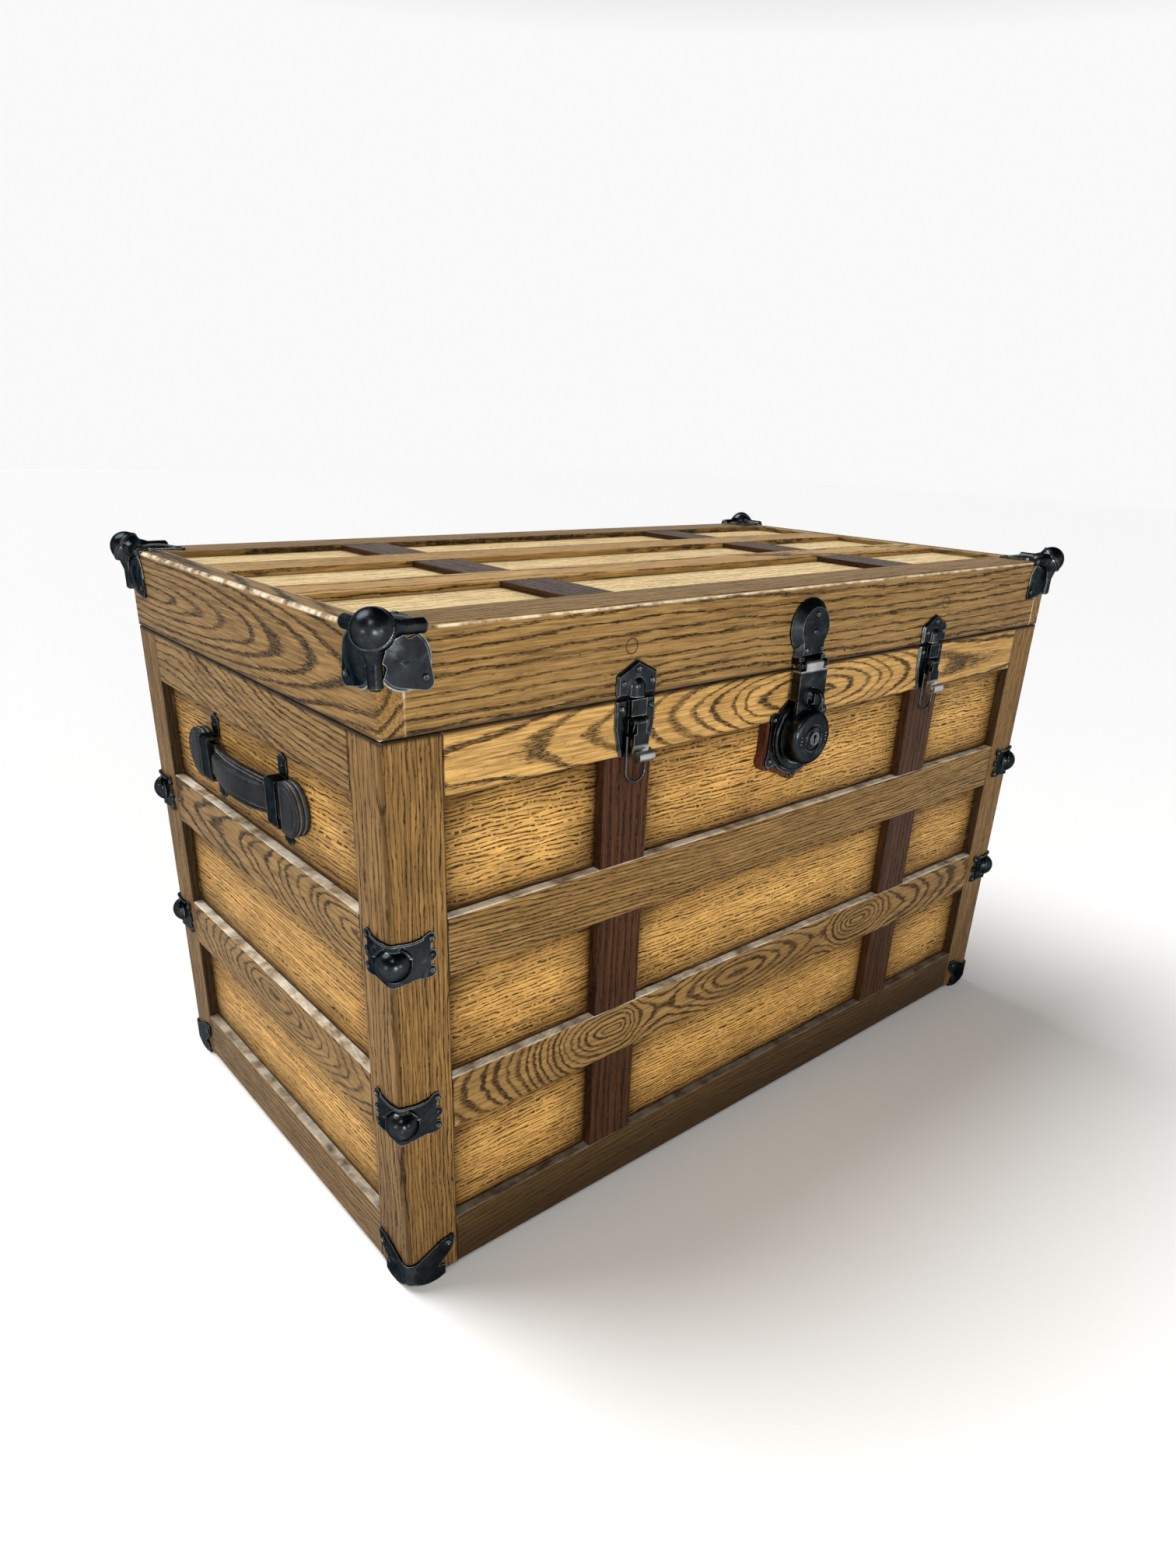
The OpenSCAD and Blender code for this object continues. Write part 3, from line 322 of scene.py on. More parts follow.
def boardGrain(tree, look, parts):
    x, y, z = (parts[axisPick[a]] for a in look["axes"])
    boards = look["boards"]
    mask = None
    if "split" in look:
        axis, height = look["split"]
        mask = calc(tree, "GREATER_THAN", parts[axisPick[axis]], height)
    across = times(tree, minus(tree, y, boardValue(tree, mask, boards, "across")),
                   boardValue(tree, mask, boards, "squash"))
    depths = [depthProfile(tree, x, one["profile"]) if one["profile"] else one["depth"] for one in boards]
    depth = depths[0] if mask is None else blend(tree, mask, *depths)
    inside = z
    if "face" in look:  # how far inside the nearer of the two outer faces
        middle, half = look["face"]
        inside = calc(tree, "ABSOLUTE", minus(tree, calc(tree, "ABSOLUTE", minus(tree, z, middle)), half))
    sockets = {"Seed": "seed", "Ring_Spacing": "rings", "Band_Width": "band", "Broken": "broken",
               "Wander": "wander"}
    values = {label: boardValue(tree, mask, boards, key) for label, key in sockets.items()}
    depth = plus(tree, depth, inside)
    return useGroup(tree, oakGrain, Board=joinVector(tree, x, y, z), Across=across, Depth=depth, **values,
                    Pore_Size=look.get("pores", 1.0), Ripple=look.get("ripple", 0.0026),
                    Dash_Rate=look.get("dashes", 150.0))


def grainColour(tree, look, coords, grain):
    light, mid, dark, pore = look["colours"]
    base = mixColour(tree, rescale(tree, grain["Tone"], 0.38, 0.62), light, mid)
    base = mixColour(tree, rescale(tree, noise(tree, coords, 5.0), 0.35, 0.7, 0.0, 0.35), base, mid)
    darkFibre, lightFibre = [c * 0.42 for c in mid], [c * 1.25 for c in light]
    base = mixColour(tree, rescale(tree, grain["Fibre"], 0.46, 0.66, 0.0, 0.75), base, darkFibre)
    base = mixColour(tree, rescale(tree, grain["Fibre"], 0.46, 0.32, 0.0, 0.8), base, lightFibre)
    base = mixColour(tree, times(tree, grain["Band"], look.get("bandStrength", 0.97)), base, dark)
    return mixColour(tree, times(tree, grain["Pore"], poreStrength), base, pore)


# the stain is darker round the edge of each panel's cells, with painted shade where the recess meets the
# rails, and even on the inside
def stainAndShadeCells(tree, look, coords, parts, base):
    shade = None
    cloud = minus(tree, noise(tree, coords, 22.0, 3.0), 0.5)
    for axis, cells in look["cells"].items():
        inside = cellDistance(tree, parts[axisPick[axis]], cells)
        inside = plus(tree, inside, times(tree, cloud, rescale(tree, inside, 0.0, 0.03, 0.0, 0.04)))
        side = ramp(tree, calc(tree, "DIVIDE", inside, vignetteReach), look.get("vignette", vignette))
        shade = side if shade is None else times(tree, shade, side)
    away = vectorCalc(tree, "MULTIPLY", texCoord(tree, "Normal"), coords)
    inward = calc(tree, "LESS_THAN", splitVector(tree, away)[axisPick[look["axes"][2]]], 0.0)
    shade = blend(tree, inward, shade, insideShade)
    return mixColour(tree, shade, mixColour(tree, 1.0, base, stainShadeBrown, "MULTIPLY"), base)


def drawSeams(tree, look, coords, parts, base):
    for axis, places in look["seams"].items():
        lines = [lineMask(tree, parts[axisPick[axis]], at, 0.0004, 0.0011, 1.0) for at in places]
        base = mixColour(tree, times(tree, calc(tree, "MAXIMUM", *lines), 0.85), base, seamDark)
    return base


# rings round the wooden plugs in the front board
def drawPlugs(tree, look, coords, parts, base):
    for plugX, plugZ in look["plugs"]:
        away = vectorCalc(tree, "SUBTRACT", coords, (plugX, frontFace, plugZ))
        reach = calc(tree, "SQRT", vectorCalc(tree, "DOT_PRODUCT", away, away))
        rim = lineMask(tree, reach, plugR, 0.0003, 0.0009, 0.8)
        base = mixColour(tree, rim, base, look["colours"][3])
    return base


# the up-facing edges of rails and slats are painted pale: a painted highlight from above, partly rubbed wear,
# but not under the lid
def litAndRubbedLedges(tree, look, coords, parts, base):
    up = splitVector(tree, texCoord(tree, "Normal"))[2]
    up = times(tree, up, calc(tree, "LESS_THAN", parts[2], ledgeTop))
    rubbed = rescale(tree, noise(tree, coords, 38.0, 4.0, 0.6), 0.36, 0.6, 0.15, 1.0)
    rubbed = times(tree, rubbed, rescale(tree, up, 0.45, 0.85, 0.0, look["ledge"]))
    return mixColour(tree, rubbed, base, ledgePale)


# the lid's upward-turned upper corners are painted pale: a painted highlight, partly rubbed wear
def litAndRubbedCrest(tree, look, coords, parts, base):
    up = splitVector(tree, texCoord(tree, "Normal"))[2]
    level = calc(tree, "SQRT", minus(tree, 1.0, times(tree, up, up), clamp=True))
    turned = rescale(tree, times(tree, up, level), 0.12, 0.4, 0.0, look["crest"])
    patchy = rescale(tree, noise(tree, coords, 60.0, 4.0, 0.65), 0.38, 0.6, 0.05, 1.0)
    return mixColour(tree, times(tree, turned, patchy), base, crestPale)


# painted shadow where the lid meets the case
def shadeGap(tree, look, coords, parts, base):
    near = lineMask(tree, parts[2], look["gap"], 0.0008, 0.0045, 0.9, smooth=True)
    return mixColour(tree, near, base, gapShadow)


# rounded upright corners are darker
def darkenArris(tree, look, coords, parts, base):
    across = splitVector(tree, vectorCalc(tree, "ABSOLUTE", texCoord(tree, "Normal")))
    turned = rescale(tree, times(tree, across[0], across[1]), 0.08, 0.42, 0.0, look["arris"])
    return mixColour(tree, turned, base, [c * 0.5 for c in look["colours"][2]])


# painted shade: the foot of the trunk is darker, as if less lit low down
def shadeFoot(tree, look, coords, parts, base):
    low = rescale(tree, parts[2], 0.0, footShadeTop, look["grime"], 0.0, smooth=True)
    return mixColour(tree, low, base, [c * 0.5 for c in look["colours"][2]])


woodEffects = {
    "cells": stainAndShadeCells, "seams": drawSeams, "plugs": drawPlugs, "ledge": litAndRubbedLedges, "crest": litAndRubbedCrest,
    "gap": shadeGap, "arris": darkenArris, "grime": shadeFoot,
}


# look's axes name what runs along the grain, across the board and into it
def woodMaterial(name, look):
    material, tree, shader = newMaterial(name, Specular_IOR_Level=woodShine)
    coords = texCoord(tree, "Object")
    parts = splitVector(tree, coords)
    grain = boardGrain(tree, look, parts)
    base = grainColour(tree, look, coords, grain)
    for key, effect in woodEffects.items():
        if key in look:
            base = effect(tree, look, coords, parts, base)
    mark = useGroup(tree, dents, Seed=look["boards"][0]["seed"], Amount=look.get("dents", 0.85))["Mask"]
    base = mixColour(tree, mark, base, nickDark)
    wear = useGroup(tree, edgeWear, Width=look.get("wearWidth", 0.0022), Cover=look.get("wear", 0.5),
                    Grain=45.0)["Mask"]
    wear = times(tree, wear, look.get("wearStrength", 0.6))
    plug(tree, mixColour(tree, wear, base, look.get("worn", wornOak)), shader.inputs["Base Color"])
    gloss = look.get("gloss", 0.4)
    rough = rescale(tree, grain["Fibre"], 0.3, 0.7, gloss, gloss + 0.16)
    plug(tree, plus(tree, rough, times(tree, grain["Pore"], 0.2)), shader.inputs["Roughness"])
    height = 1.0
    for dip, share in ((grain["Pore"], 0.6), (grain["Band"], 0.5), (mark, 1.2)):
        height = minus(tree, height, times(tree, dip, share))
    addBump(tree, shader, height, 0.6, look.get("relief", 0.0007))
    return material


def dress(material, *names):
    for name in names:
        for slot in nodes[name].material_slots:
            slot.material = material
        if not nodes[name].material_slots:
            nodes[name].data.materials.append(material)


# light, middle, band and pore colours
honey = ((0.289, 0.173, 0.06), (0.2202, 0.1246, 0.04), (0.0562, 0.0295, 0.0108), (0.0158, 0.0086, 0.0036))
straw = ((0.5394, 0.3255, 0.107), (0.4371, 0.2511, 0.0772), (0.0864, 0.0475, 0.018), (0.0238, 0.0137, 0.0058))
golden = ((0.6785, 0.3928, 0.1152), (0.5357, 0.2902, 0.0783), (0.0748, 0.0354, 0.0122),
          (0.0245, 0.0122, 0.0048))
# the lid panel's oak, painted lighter for the glare its top takes from above
pale = ((0.93, 0.72, 0.38), (0.84, 0.6, 0.29), (0.26, 0.155, 0.065), (0.09, 0.05, 0.022))
weathered = ((0.2904, 0.1716, 0.0563), (0.22, 0.125, 0.0396), (0.0525, 0.0285, 0.0112),
             (0.015, 0.0083, 0.0037))
umber = ((0.248, 0.1394, 0.0447), (0.1881, 0.1014, 0.031), (0.04, 0.021, 0.008), (0.014, 0.008, 0.004))
chocolate = ((0.07, 0.029, 0.011), (0.05, 0.02, 0.008), (0.02, 0.008, 0.004), (0.008, 0.004, 0.002))
cherry = ((0.11, 0.036, 0.016), (0.075, 0.024, 0.011), (0.035, 0.012, 0.006), (0.015, 0.006, 0.004))

# stained, dirty and rubbed places, and painted shade and highlights
# panel stain, darkened further by painted shade along the rails
stainShadeBrown = (0.055, 0.035, 0.025)
seamDark = (0.016, 0.01, 0.006)
# painted shadow in the gap under the lid
gapShadow = (0.018, 0.011, 0.007)
nickDark = (0.025, 0.013, 0.007)
# painted highlight on up-facing ledges, partly rubbed wear
ledgePale = (1.0, 0.93, 0.78)
# painted highlight on the lid's upper corners, partly rubbed wear
crestPale = (0.92, 0.8, 0.6)
wornOak = (0.5, 0.36, 0.21)
wornLid = (0.8, 0.66, 0.45)
wornWalnut = (0.16, 0.09, 0.05)

woodShine = 0.07
poreStrength = 0.9
insideShade = 0.8
plugR = 0.0062
ledgeTop = 0.45  # height up to which ledges are pale
# height up to which the foot is painted in shade
footShadeTop = 0.2

# how the stain and the painted shade fade in from a cell's edge
vignetteReach = 0.05
vignette = [(0.0, 0.0), (0.03, 0.03), (0.1, 0.3), (0.28, 0.6), (0.6, 0.84), (0.95, 1.0)]

# the cells that rails, slats and strips leave open, and the lines where boards meet
frontRows = [(0.0575, 0.1565), (0.2085, 0.3065), (0.3585, 0.459)]
frontColumns = [(-0.406, -0.25), (-0.198, 0.198), (0.25, 0.406)]
endColumns = [(-0.196, 0.2103)]
lidRows = [(-0.1904, -0.0941), (-0.0411, 0.0552), (0.1082, 0.2046)]
lidColumns = [(-0.436, -0.25), (-0.198, 0.198), (0.25, 0.436)]
postEdges = {"x": [-0.406, 0.406]}
endPostEdges = {"y": [-0.196, 0.2103]}
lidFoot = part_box("lid_front_board")[0][2]
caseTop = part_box("front_top_rail")[1][2]
betweenRails = 0.25  # a height that parts the lower boards from the upper ones
frontFaces = (woodShift, halfDeep)  # middle and half distance
endFaces = (0.0, halfLong)


# one board's rings; the heart of its tree lies so far across the board and so deep in it
def oak(seed, rings, across, band=0.4, broken=0.2, wander=0.003, squash=1.0, depth=None, profile=None):
    return {"seed": seed, "rings": rings, "across": across, "band": band, "broken": broken, "wander": wander,
            "squash": squash, "depth": depth, "profile": profile}


lidEdge = dict(wear=0.8, wearWidth=0.003, wearStrength=0.85, worn=wornLid, crest=0.85, gap=lidFoot)
walnut = dict(colours=chocolate, wear=0.25, wearStrength=0.4, worn=wornWalnut, dents=0.3, bandStrength=0.5)
panel = dict(colours=golden, pores=0.9, dents=0.4, ripple=0.0055, dashes=210.0, relief=0.0014)

woodLooks = {
    "lidFront": dict(
        lidEdge, axes="xzy", nodes=["lid_front_board", "lid_back_board"], colours=honey, face=frontFaces,
        plugs=[(-0.2259, 0.551), (0.2371, 0.5512)],
        boards=[oak(3.1, rings=0.0092, across=0.82, band=0.34, broken=0.15, wander=0.0035,
                    profile=[(-0.46, 0.02), (-0.1, 0.06), (0.15, 0.0), (0.46, 0.07)])]),
    "lidRails": dict(
        axes="xyz", nodes=["lid_front_rail", "lid_back_rail"], colours=honey, wear=0.7, split=("y", 0.0),
        boards=[oak(8.3, rings=0.006, across=-0.42, band=0.35, broken=0.3, depth=-0.54),
                oak(1.7, rings=0.006, across=0.5, band=0.35, broken=0.3, depth=-0.54)]),
    "lidSlats": dict(
        axes="xyz", nodes=["lid_slats"], colours=straw, split=("y", woodShift),
        boards=[oak(5.7, rings=0.0055, across=-0.0676,
                    profile=[(-0.44, -0.50), (-0.15, -0.56), (0.1, -0.575), (0.44, -0.53)]),
                oak(2.4, rings=0.006, across=0.3, band=0.35, broken=0.3, depth=-0.54)]),
    "lidEnds": dict(
        lidEdge, axes="yzx", nodes=["lid_left_board", "lid_right_board"], colours=weathered, face=endFaces,
        split=("x", 0.0),
        boards=[oak(1.9, rings=0.0138, across=0.549, squash=2.1, band=0.5, broken=0.05,
                    profile=[(-0.245, 0.098), (-0.15, 0.08), (-0.05, 0.055), (0.04, 0.033), (0.12, 0.015),
                             (0.19, 0.003), (0.26, 0.012)]),
                oak(4.9, rings=0.007, across=0.545, band=0.42, broken=0.1, wander=0.004,
                    profile=[(-0.245, 0.02), (0.0, 0.06), (0.26, 0.01)])]),
    "frontTopRail": dict(
        axes="xzy", nodes=["front_top_rail", "back_top_rail"], colours=straw, face=frontFaces,
        seams=postEdges, gap=caseTop,
        boards=[oak(6.4, rings=0.0078, across=0.482, squash=1.7, band=0.5, broken=0.0, wander=0.0025,
                    profile=[(-0.41, 0.112), (-0.3, 0.104), (-0.2, 0.084), (-0.09, 0.05), (-0.02, 0.028),
                             (0.05, 0.02), (0.13, 0.045), (0.22, 0.07), (0.41, 0.08)])]),
    "frontSlats": dict(
        axes="xzy", nodes=["front_slats", "back_slats"], colours=honey, face=frontFaces, seams=postEdges,
        ledge=0.95, split=("z", betweenRails),
        boards=[oak(2.2, rings=0.0042, across=0.1865, squash=0.85, band=0.58, broken=0.0, wander=0.002,
                    profile=[(-0.41, 0.074), (-0.32, 0.044), (-0.2296, 0.001), (-0.19, 0.02), (-0.14, 0.024),
                             (-0.06, 0.008), (0.02, 0.016), (0.1, 0.024), (0.16, 0.001), (0.22, 0.022),
                             (0.3, 0.034), (0.41, 0.05)]),
                oak(7.7, rings=0.0036, across=0.52, band=0.46, broken=0.25,
                    profile=[(-0.41, 0.09), (0.0, 0.03), (0.41, 0.07)])]),
    "frontBottomRail": dict(
        axes="xzy", nodes=["front_bottom_rail", "back_bottom_rail"], colours=honey, face=frontFaces,
        seams=postEdges, ledge=0.7, grime=0.95,
        boards=[oak(9.5, rings=0.0052, across=-0.05, band=0.42,
                    profile=[(-0.41, 0.06), (-0.1, 0.03), (0.2, 0.05), (0.41, 0.02)])]),
    "endRails": dict(
        axes="yzx", nodes=["left_top_rail", "right_top_rail", "left_bottom_rail", "right_bottom_rail"],
        colours=weathered, face=endFaces, split=("z", betweenRails), seams=endPostEdges, ledge=0.6,
        grime=0.35, gap=caseTop,
        boards=[oak(4.8, rings=0.005, across=-0.08, depth=0.04),
                oak(8.8, rings=0.0056, across=0.56, band=0.42, broken=0.1,
                    profile=[(-0.2, 0.02), (-0.05, 0.05), (0.1, 0.09), (0.22, 0.1)])]),
    "endSlats": dict(
        axes="yzx", nodes=["left_slats", "right_slats"], colours=weathered, face=endFaces,
        split=("z", betweenRails), seams=endPostEdges, ledge=0.7,
        boards=[oak(7.6, rings=0.0048, across=0.19, broken=0.1,
                    profile=[(-0.2, 0.05), (-0.02, 0.012), (0.1, 0.03), (0.22, 0.06)]),
                oak(3.3, rings=0.0055, across=0.338, band=0.48, broken=0.0,
                    profile=[(-0.2, 0.002), (-0.12, 0.022), (-0.04, 0.045), (0.05, 0.06), (0.22, 0.075)])]),
    "posts": dict(
        axes="zxy", nodes=["front_left_post", "front_right_post", "back_left_post", "back_right_post"],
        colours=umber, split=("x", 0.0), seams={**postEdges, **endPostEdges},
        arris=0.5, grime=0.3, gap=caseTop,
        boards=[oak(0.6, rings=0.0031, across=-0.9, band=0.42, broken=0.4, depth=0.45),
                oak(5.5, rings=0.0033, across=0.95, band=0.42, broken=0.4, depth=0.45)]),
    "frontPanel": dict(
        panel, axes="xzy", nodes=["front_panel", "back_panel"], cells={"z": frontRows, "x": frontColumns},
        boards=[oak(5.1, rings=0.0037, across=-0.45, band=0.46, broken=0.85, wander=0.0034, depth=0.3)]),
    "endPanel": dict(
        panel, axes="yzx", nodes=["left_panel", "right_panel"], cells={"z": frontRows, "y": endColumns},
        boards=[oak(2.9, rings=0.0042, across=-0.5, broken=0.85, wander=0.0036, depth=0.5)]),
    "lidPanel": dict(
        axes="xyz", nodes=["lid_panel"], colours=pale, pores=0.9, dents=0.4, ripple=0.0045, dashes=180.0,
        cells={"y": lidRows, "x": lidColumns},
        vignette=[(0.0, 0.15), (0.04, 0.4), (0.1, 0.8), (0.25, 0.96), (0.5, 1.0), (1.0, 1.0)],
        boards=[oak(4.4, rings=0.0046, across=-0.8, band=0.34, broken=0.6, wander=0.0025, depth=-0.4)]),
    "bottomBoard": dict(
        axes="xyz", nodes=["bottom_board"], colours=golden,
        boards=[oak(1.2, rings=0.006, across=-0.5, band=0.3, broken=0.5, depth=0.2)]),
    "walnutUpright": dict(
        walnut, axes="zxy", nodes=["front_walnut_strips", "back_walnut_strips"], gloss=0.36,
        boards=[oak(6.9, rings=0.008, across=0.9, band=0.5, depth=0.2)]),
    "walnutLid": dict(
        walnut, axes="yxz", nodes=["lid_walnut_strips"], gloss=0.34,
        boards=[oak(3.6, rings=0.008, across=0.9, band=0.5, depth=-0.3)]),
    "redBacking": dict(
        axes="zxy", nodes=["lock_backing"], colours=cherry, wear=0.4, gloss=0.32, worn=(0.33, 0.14, 0.06),
        boards=[oak(1.1, rings=0.006, across=0.4, broken=0.3, depth=0.3)]),
}
for lookName, look in woodLooks.items():
    dress(woodMaterial(lookName, look), *look["nodes"])
print("wood finished")


# steel and leather

def patinaMaterial(name, look):
    material, tree, shader = newMaterial(name, Metallic=1.0, Specular_Tint=waxTint)
    coords = texCoord(tree, "Object")
    cloud = noise(tree, coords, 55.0, 4.0, 0.6)
    speck = noise(tree, coords, 420.0, 3.0, 0.6)
    blotch = noise(tree, coords, 95.0, 5.0, 0.62, 0.6)
    base = mixColour(tree, rescale(tree, cloud, 0.35, 0.7), look["dark"], look["light"])
    base = mixColour(tree, rescale(tree, speck, 0.55, 0.75, 0.0, 0.5), base, look["light"])
    base = mixColour(tree, rescale(tree, blotch, 0.56, 0.74, 0.0, 0.55), base, look["mottle"])
    # edges worn bare, partly a painted edge highlight
    wear = useGroup(tree, edgeWear, Width=look["wearWidth"], Cover=look["wear"], Grain=110.0)["Mask"]
    wear = times(tree, wear, look["wearStrength"])
    if "polish" in look:  # rubbed bright by hands between two heights, partly a painted highlight on the hasp knuckle and the lever lips
        low, high = look["polish"]
        between = rescale(tree, splitVector(tree, coords)[2], low, high)
        rub = times(tree, between, rescale(tree, cloud, 0.3, 0.6, 0.55, 1.0))
        wear = calc(tree, "MAXIMUM", wear, rub)
    plug(tree, mixColour(tree, wear, base, look["bare"]), shader.inputs["Base Color"])
    plug(tree, rescale(tree, cloud, 0.3, 0.75, look["gloss"], look["gloss"] + 0.14),
         shader.inputs["Roughness"])
    height = plus(tree, times(tree, cloud, 1.8), times(tree, speck, 0.2))
    addBump(tree, shader, height, look["hammer"], 0.0005)
    return material


# old black wax takes no glare at a low angle
waxTint = (0.4, 0.41, 0.42, 1)
blackened = dict(
    dark=(0.014, 0.017, 0.019), light=(0.035, 0.041, 0.045), mottle=(0.1, 0.112, 0.116),
    bare=(0.5, 0.52, 0.51), gloss=0.19, wear=0.8, wearWidth=0.0013, wearStrength=0.75, hammer=0.42)
steelLooks = {
    "blackSteel": dict(
        blackened, bare=(0.46, 0.48, 0.47), wear=0.85, wearStrength=0.8,
        nodes=["bottom_corners", "slat_clamps", "ball_corners", "hinge_case_leaves", "hinge_lid_leaves",
               "latch_plates", "latch_keepers", "lock_plate", "left_handle_loops", "right_handle_loops"]),
    "leafSteel": dict(blackened, nodes=["lock_leaf"]),
    "haspSteel": dict(blackened, polish=(0.5055, 0.5075), nodes=["hasp"]),
    "wornSteel": dict(
        blackened, dark=(0.07, 0.074, 0.076), light=(0.16, 0.165, 0.165), mottle=(0.2, 0.2, 0.19),
        bare=(0.6, 0.6, 0.58), gloss=0.2, wearWidth=0.0014, wearStrength=0.9,
        nodes=["hinge_pins", "latch_pins", "hasp_pin", "key_plug"]),
    "rubbedSteel": dict(
        dark=(0.02, 0.023, 0.025), light=(0.06, 0.066, 0.07), mottle=(0.14, 0.145, 0.14),
        bare=(0.6, 0.61, 0.59), gloss=0.16, wear=0.85, wearWidth=0.0016, wearStrength=0.85, hammer=0.15,
        nodes=["hasp_eye", "left_latch_bolt", "right_latch_bolt", "left_latch_bail", "right_latch_bail"]),
    "leverSteel": dict(
        blackened, dark=(0.014, 0.016, 0.018), light=(0.03, 0.035, 0.038), mottle=(0.08, 0.09, 0.095),
        gloss=0.16, wearWidth=0.0012, wearStrength=0.8, hammer=0.15, polish=(0.4705, 0.4675),
        nodes=["left_latch_lever", "right_latch_lever"]),
}
steelFinish = {}
for lookName, look in steelLooks.items():
    steelFinish[lookName] = patinaMaterial(lookName, look)
    dress(steelFinish[lookName], *look["nodes"])


def leatherMaterial():
    # partly a metal in place of blacking, against the white floor's glare
    material, tree, shader = newMaterial(
        "handleLeather", Specular_IOR_Level=0.03, Metallic=0.6, Specular_Tint=waxTint)
    coords = texCoord(tree, "Object")
    cells = addNode(tree, "TexVoronoi", feature="DISTANCE_TO_EDGE")
    plug(tree, coords, cells.inputs["Vector"])
    cells.inputs["Scale"].default_value = 900.0
    crease = noise(tree, coords, 120.0, 4.0, 0.6)
    rub = noise(tree, coords, 30.0, 3.0)
    base = mixColour(tree, rescale(tree, rub, 0.4, 0.7), (0.018, 0.019, 0.021), (0.04, 0.041, 0.044))
    # welt edges worn pale, partly a painted edge highlight
    wear = useGroup(tree, edgeWear, Width=0.0022, Cover=0.85, Grain=90.0)["Mask"]
    base = mixColour(tree, times(tree, wear, 0.85), base, (0.48, 0.45, 0.4))
    plug(tree, base, shader.inputs["Base Color"])
    plug(tree, rescale(tree, rub, 0.3, 0.7, 0.2, 0.34), shader.inputs["Roughness"])
    scales = rescale(tree, cells.outputs["Distance"], 0.0, 0.15)
    addBump(tree, shader, plus(tree, scales, crease), 0.4, 0.0003)
    return material


leather = leatherMaterial()
dress(leather, "left_handle", "right_handle")
print("steel and leather finished")


# screws, rivets and stitches

def newMesh(name, points, faces=()):
    mesh = bpy.data.meshes.new(name)
    mesh.from_pydata(points, [], faces)
    mesh.polygons.foreach_set("use_smooth", [len(p.vertices) < 5 for p in mesh.polygons])
    return mesh


def addObject(name, data):
    added = bpy.data.objects.new(name, data)
    bpy.context.scene.collection.objects.link(added)
    return added


def latheMesh(name, profile, segments, carve=None):
    points, faces = [], []
    for radius, height in profile[:-1]:
        for i in range(segments):
            turn = 2 * math.pi * i / segments
            x, y = radius * math.cos(turn), radius * math.sin(turn)
            points.append((x, y, height - (carve(x, y) if carve else 0.0)))
    rings = len(profile) - 1
    for ring in range(rings - 1):
        for i in range(segments):
            j = (i + 1) % segments
            a, b = ring * segments, (ring + 1) * segments
            faces.append((a + i, a + j, b + j, b + i))
    top = len(points)
    points.append((0.0, 0.0, profile[-1][1] - (carve(0.0, 0.0) if carve else 0.0)))
    last = (rings - 1) * segments
    faces += [(last + i, last + (i + 1) % segments, top) for i in range(segments)]
    faces.append(tuple(reversed(range(segments))))
    return newMesh(name, points, faces)


def domeProfile(radius, height, foot, steps):
    rise = [math.pi / 2 * i / steps for i in range(steps + 1)]
    return [(radius, -foot)] + [(radius * math.cos(a), height * math.sin(a)) for a in rise]


# cross recess of a screw, for a head of radius 1
def crossRecess(x, y):
    thin, long = sorted((abs(x), abs(y)))
    arm = max(0.0, min(1.0, (0.2 - thin) / 0.08)) * max(0.0, min(1.0, (0.62 - long) / 0.12))
    return 0.34 * arm


screwProfile = [(1.0, -0.3), (1.0, 0.08), (0.97, 0.16), (0.9, 0.24), (0.8, 0.31), (0.7, 0.36), (0.6, 0.4),
                (0.5, 0.43), (0.4, 0.45), (0.3, 0.465), (0.2, 0.475), (0.1, 0.48), (0.0, 0.48)]
headMeshes = {
    "screw": latheMesh("screwHead", screwProfile, 32, crossRecess),
    "rivet": latheMesh("rivetHead", domeProfile(1.0, 0.55, 0.3, 7), 24),
    "stitch": latheMesh("stitchHump", domeProfile(1.0, 0.7, 0.3, 5), 12),
}


# Geometry Nodes that put one head on every point, turned by the point's own angles
def headTree():
    tree = bpy.data.node_groups.new("scatterHeads", "GeometryNodeTree")
    kinds = {"Seats": "Geometry", "Head": "Object", "Finish": "Material", "Spin": "Float", "Seed": "Int"}
    for label, kind in kinds.items():
        tree.interface.new_socket(label, in_out="INPUT", socket_type="NodeSocket" + kind)
    tree.interface.new_socket("Heads", in_out="OUTPUT", socket_type="NodeSocketGeometry")

    def put(kind, **settings):
        node = tree.nodes.new(kind)
        for key, value in settings.items():
            setattr(node, key, value)
        return node

    given = put("NodeGroupInput").outputs
    head = put("GeometryNodeObjectInfo", transform_space="ORIGINAL")
    turn = put("GeometryNodeInputNamedAttribute", data_type="FLOAT_VECTOR")
    turn.inputs["Name"].default_value = "turn"
    size = put("GeometryNodeInputNamedAttribute", data_type="FLOAT_VECTOR")
    size.inputs["Name"].default_value = "size"
    euler = put("FunctionNodeEulerToRotation")
    chance = put("FunctionNodeRandomValue", data_type="FLOAT")
    about = put("FunctionNodeAxisAngleToRotation")
    spun = put("FunctionNodeRotateRotation", rotation_space="LOCAL")
    amount = put("ShaderNodeMath", operation="MULTIPLY")
    place = put("GeometryNodeInstanceOnPoints")
    real = put("GeometryNodeRealizeInstances")
    finish = put("GeometryNodeSetMaterial")
    for source, target in (
            (given["Head"], head.inputs["Object"]), (given["Seed"], chance.inputs["Seed"]),
            (chance.outputs[1], amount.inputs[0]), (given["Spin"], amount.inputs[1]),
            (amount.outputs[0], about.inputs["Angle"]), (turn.outputs["Attribute"], euler.inputs[0]),
            (euler.outputs[0], spun.inputs[0]), (about.outputs[0], spun.inputs[1]),
            (given["Seats"], place.inputs["Points"]), (head.outputs["Geometry"], place.inputs["Instance"]),
            (spun.outputs[0], place.inputs["Rotation"]), (size.outputs["Attribute"], place.inputs["Scale"]),
            (place.outputs[0], real.inputs[0]), (real.outputs[0], finish.inputs["Geometry"]),
            (given["Finish"], finish.inputs["Material"]),
            (finish.outputs[0], put("NodeGroupOutput").inputs[0])):
        tree.links.new(source, target)
    return tree


scatterHeads = headTree()


